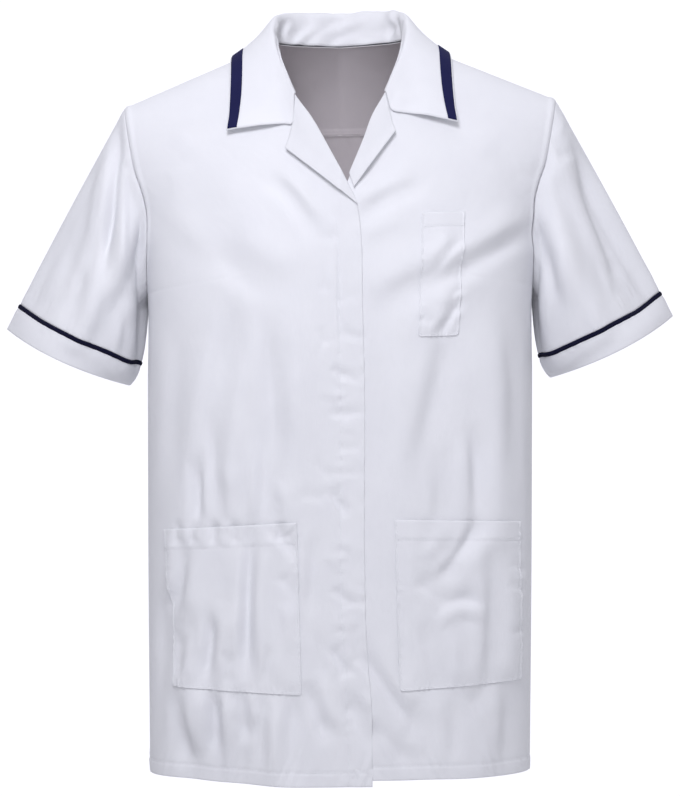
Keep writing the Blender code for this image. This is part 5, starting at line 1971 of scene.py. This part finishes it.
@dataclass
class Lapel:
    """Lapel: the facing turned over the roll line and laid on the front."""

    hand: Hand
    corner: Place
    end: Place
    roll_end: float
    rows: int = 76
    columns: int = 44
    roll_steps: int = 9
    radius: float = 0.0015
    clear: float = 0.0012
    curl: float = 0.0032
    curl_reach: float = 0.009

    def notch_pull(self, part: Array, notch: Array, start: Array) -> Array:
        """How far the top edge bends in to pass through the notch: a tent with its peak there.

        Args:
            part: Shares across the lapel.
            notch: Place of the notch.
            start: Top of the gorge.

        Returns:
            Shifts across.
        """
        corner = np.array(self.corner)
        turn = (notch[1] - start[1]) / (corner[1] - start[1])
        straight = start[0] + turn * (corner[0] - start[0])
        bend = min(notch[0] - straight + 0.0003, 0.0)
        return bend * np.where(part < turn, part / turn, (1.0 - part) / (1.0 - turn))

    def grids(self, collar: Collar) -> Pair:
        """Outer and inner points: a tight round turn at the roll line, then the spread of the lapel.

        Args:
            collar: Gives the gorge and the notch.

        Returns:
            Outer and inner grid.
        """
        sign = int(self.hand)
        start = np.array(collar.gorge_top)
        heights = np.linspace(start[1] - SEAM_GAP, self.roll_end, self.rows + 1)
        share = even(self.rows)[:, None]
        across = -FORM.front_reach(self.hand, heights)
        tip = np.array(self.corner) + (np.array(self.end) - np.array(self.corner)) * share
        place, normal = FORM.front(sign * across, heights)
        target, _ = FORM.front(sign * tip[:, 0], tip[:, 1])
        toward = target - place
        outboard = unit(toward - normal * np.sum(toward * normal, axis=1, keepdims=True))
        width = np.linalg.norm(toward, axis=1, keepdims=True)
        centre = place + outboard * np.minimum(self.radius, 0.45 * width)
        turn = np.radians(np.linspace(-70.0, 90.0, self.roll_steps + 1))[None, :, None]
        arm = -outboard[:, None] * np.cos(turn) + normal[:, None] * np.sin(turn)
        step = even(self.columns)[None, 1:]
        begin = np.minimum(self.radius / np.maximum(width, 1e-6), 0.45)
        part = begin + step * (1.0 - begin)
        spot_x = across[:, None] + part * (tip[:, :1] - across[:, None])
        spot_x = spot_x + self.notch_pull(part, collar.notch(self.hand), start) * (1 - np.minimum(1, 4 * share))
        spot_z = heights[:, None] + part * (tip[:, 1:] - heights[:, None])
        lift = (self.radius - CLOTH) + (self.clear - self.radius + CLOTH) * step
        from_edge = width * (1.0 - step)
        lift = lift + self.curl * hump(from_edge / self.curl_reach) * ease(0.0, 0.35, 1.0 - share)
        base, face = FORM.front(sign * spot_x, spot_z, lift + 0.0 * part)
        inner = join([centre[:, None] + (self.radius - CLOTH) * arm, base], axis=1)
        outer = join([centre[:, None] + self.radius * arm, base + CLOTH * face], axis=1)
        return outer, inner

    def build(self, collar: Collar, wardrobe: Wardrobe) -> None:
        """Make the lapel.

        Args:
            collar: Gives the gorge and the notch.
            wardrobe: Gives the finishes.
        """
        outer, inner = self.grids(collar)
        over = row_lengths(outer)
        down = row_lengths(np.swapaxes(outer, 0, 1))[0][:, None]
        name = "lapel_" + self.hand.word
        wardrobe.sew(ClothShell("cloth_" + name, outer, inner, flow_of(over, down)), name, outer)


@dataclass
class Pocket:
    """Patch pocket, made from the points of the front that it lies on, moved out."""

    name: str
    top: tuple[Place, Place]
    bottom: tuple[Place, Place]
    rounding: float
    hem: float
    columns: int = 104
    rows: int = 96
    corner_rows: int = 4
    wall: float = 0.0007
    seat: float = 0.0003
    belly: float = 0.001
    gape: float = 0.0005
    edge_stitch: float = 0.002
    phase: float = 0.0

    def places(self) -> tuple[Array, Array, Array]:
        """Places across and heights in the pocket's outline, its lower corners rounded.

        Returns:
            Places, distances from the nearer side, and distances below the top, per point.
        """
        top_left, top_right = np.array(self.top)
        bottom_left, bottom_right = np.array(self.bottom)
        depth = abs(top_left[1] - bottom_left[1])
        share = even(self.rows - self.corner_rows)
        straight = (share - 0.35 * np.sin(np.pi * share) / np.pi) * (depth - self.rounding)
        turns = np.linspace(0.0, np.pi / 2, self.corner_rows + 1)[1:]
        downs = join([straight, depth - self.rounding * (1.0 - np.sin(turns))])
        insets = join([np.zeros(len(straight)), self.rounding * (1.0 - np.cos(turns))])
        step = (downs / depth)[:, None, None]
        left = top_left + step * (bottom_left - top_left)
        right = top_right + step * (bottom_right - top_right)
        span = right[..., 0] - left[..., 0]
        share = even(self.columns)
        share = share - 0.6 * np.sin(2 * np.pi * share) / (2 * np.pi)
        shares = insets[:, None] / span + share * (1.0 - 2.0 * insets[:, None] / span)
        places = left + shares[..., None] * (right - left)
        return places, np.minimum(shares, 1 - shares) * span, np.broadcast_to(downs[:, None], shares.shape)

    def build(self, wardrobe: Wardrobe) -> None:
        """Make the pocket with its turned top, edge stitching and puckered seams.

        Args:
            wardrobe: Gives the finishes.
        """
        places, from_side, down = self.places()
        depth = down[-1, 0]
        from_low = depth - down
        from_edge = np.minimum(from_side, from_low)
        open_share = hump(down / 0.03) * ease(0.0, 0.03, from_side)
        lift = self.seat + self.belly * ease(0.0, 0.02, from_edge) + self.gape * open_share
        lift -= 0.00035 * hump((from_edge - self.edge_stitch) / 0.0011)
        lift -= 0.00045 * hump((down - self.hem) / 0.0014)
        lift += puckers(places[..., 0], from_low - 0.001, 0.0062, 0.0007, 0.008, 0.5 + self.phase)
        lift += puckers(down, from_side - 0.001, 0.0115, 0.0005, 0.005, 1.5 + self.phase)
        lift += 0.0004 * hump((from_edge - 0.0005) / 0.0008)
        lift = np.maximum(lift, 0.0002)
        grid, face = FORM.front(places[..., 0], places[..., 1])
        if places[0, 0, 0] > 0:
            lift -= Fronts.underlap * (1.0 - ease(LAP_FULL, LAP_END, places[..., 0]))
        wall = self.wall + 0.0005 * (1.0 - ease(self.hem, self.hem + 0.0015, down))
        inner = grid + face * lift[..., None]
        outer = inner + face * wall[..., None]
        panel = Panel(outer, outward(outer, Side.FRONT), grid, flow_of(places[..., 0], down), inner)
        panel.hang(self.name, wardrobe, self.seams(panel, from_side, down), paint_inside_shade=False)

    def seams(self, panel: Panel, from_side: Array, down: Array) -> list[Seam]:
        """Edge stitching round three sides, and the line that holds the turned top.

        Args:
            panel: The pocket's grid.
            from_side: Distances from the nearer side.
            down: Distances below the top.

        Returns:
            The lines.
        """
        rows, columns = from_side.shape
        half = columns // 2
        inset = self.edge_stitch
        low_row = np.interp(down[-1, 0] - inset, down[:, 0], np.arange(rows))
        column = np.interp(inset, from_side[rows // 2, :half], np.arange(half))
        downs = np.linspace(0.5, low_row, 160)
        across = np.linspace(column, columns - 1 - column, 160)
        round_path = (join([downs, np.full(160, low_row), downs[::-1]]),
                      join([np.full(160, column), across, np.full(160, columns - 1 - column)]))
        hem_row = np.interp(self.hem, down[:, 0], np.arange(rows))
        return [panel.line(*round_path), panel.line(hem_row, across)]


@dataclass
class Studio:
    """Plain pale surroundings: soft light from the front and above, dimmer at both sides."""

    floor_height: float = -1.45
    floor_radius: float = 3.0
    floor_sides: int = 96
    tint: Colour = (0.97, 0.97, 1.04)
    aim: Colour = (0.0, 0.0, -0.35)
    walls: tuple = (
        ("X", ((0.0, 0.12), (1.0, 0.12), (0.2, 0.2), (0.38, 0.36), (0.6, 0.36), (0.78, 0.26))),
        ("Y", ((0.0, 0.0), (1.0, 0.6), (0.98, 0.0), (0.988, 0.6))),
        ("Z", ((0.0, 0.0), (1.0, 0.26), (0.6, 0.0))),
    )
    boxes: tuple = (
        ("key", (-0.26, -1.35, 0.95), 0.8, 18.4),
        ("fill", (0.06, -1.5, -0.25), 0.9, 2.6),
    )

    def floor(self) -> None:
        """Lay a pale round floor below the garment."""
        turn = np.linspace(0.0, 2 * np.pi, self.floor_sides + 1)[:-1]
        ring = np.stack([np.cos(turn), np.sin(turn), 0.0 * turn], axis=1) * self.floor_radius
        ring[:, 2] = self.floor_height
        mesh = bpy.data.meshes.new("floor")
        mesh.from_pydata(ring.tolist(), [], [list(range(self.floor_sides))])
        mesh.update()
        material, _, _ = new_material("floor_paint", {"Base Color": (0.86, 0.86, 0.87, 1.0), "Roughness": 0.9})
        mesh.materials.append(material)
        put_object("floor", mesh)

    def surroundings(self) -> None:
        """Light the walls by direction alone: a white backdrop, dimmer sides and a brighter ceiling."""
        world = bpy.data.worlds.new("studio")
        bpy.context.scene.world = world
        world.use_nodes = True
        board = Board(world.node_tree)
        split = board.add("SeparateXYZ", {"Vector": board.add("TexCoord").outputs["Generated"]})
        colour = None
        for axis, steps in self.walls:
            share = board.add("MapRange", {"From Min": -1.0, "Value": split.outputs[axis]})
            stops = [(position, [level * part for part in self.tint]) for position, level in steps]
            ramp = board.ramp(share.outputs["Result"], stops)
            if colour is None:
                colour = ramp
                continue
            both = board.add("Mix", {"Factor": 1.0, 6: colour, 7: ramp}, data_type="RGBA", blend_type="ADD")
            colour = both.outputs[2]
        board.fill(board.tree.nodes["Background"], {"Color": colour, "Strength": 1.0})

    def lights(self) -> None:
        """Hang the soft boxes, the main one above the front."""
        for name, place, size, power in self.boxes:
            light = bpy.data.lights.new(name, "AREA")
            light.shape = "DISK"
            light.size = size
            light.energy = power
            light.color = self.tint
            item = put_object(name, light)
            item.location = place
            away = Vector(place) - Vector(self.aim)
            item.rotation_euler = away.to_track_quat("Z", "Y").to_euler()

    def camera(self) -> None:
        """Stand the camera level in front, at the photograph's distance."""
        data = bpy.data.cameras.new("camera")
        data.lens = VIEW.lens
        data.sensor_width = VIEW.sensor
        data.sensor_fit = "AUTO"
        item = put_object("camera", data)
        item.location = (0.0, -VIEW.distance, VIEW.height)
        item.rotation_euler = (np.pi / 2, 0.0, 0.0)
        bpy.context.scene.camera = item

    def build(self) -> None:
        """Set the floor, the surroundings, the lights and the camera."""
        self.camera()
        self.floor()
        self.surroundings()
        self.lights()
        bpy.context.scene.view_settings.view_transform = "Standard"


POCKETS = (
    Pocket("pocket_lower_right", ((-0.1765, -0.4935), (-0.0425, -0.4868)),
           ((-0.167, -0.6515), (-0.038, -0.6585)), 0.003, 0.0195, phase=0.0),
    Pocket("pocket_lower_left", ((0.0538, -0.4852), (0.1763, -0.49)),
           ((0.0592, -0.6552), (0.1808, -0.649)), 0.003, 0.0195, phase=2.2),
    Pocket("pocket_chest", ((0.0817, -0.1812), (0.1239, -0.1808)),
           ((0.0773, -0.3048), (0.118, -0.304)), 0.003, 0.014, columns=50, rows=96, belly=0.0006,
           gape=0.0005, phase=4.1),
)


def main() -> None:
    """Build every piece of the tunic in order; each piece logs its triangle count."""
    logging.basicConfig(level=logging.INFO, format="%(name)s %(message)s")
    Studio().build()
    wardrobe = Wardrobe()
    fronts, back, collar = Fronts(), Back(), Collar()
    fronts.build(wardrobe)
    back.build(wardrobe)
    for hand in Hand:
        Sleeve(hand).build(fronts.panels[hand], fronts.rows_above, back, wardrobe)
    collar.build(wardrobe)
    Lapel(Hand.RIGHT, (0.0537, -0.115), (-0.0172, -0.172), -0.17).build(collar, wardrobe)
    Lapel(Hand.LEFT, (0.0545, -0.1), (0.0135, -0.155), -0.14).build(collar, wardrobe)
    for pocket in POCKETS:
        pocket.build(wardrobe)


if __name__ == "__main__":
    main()
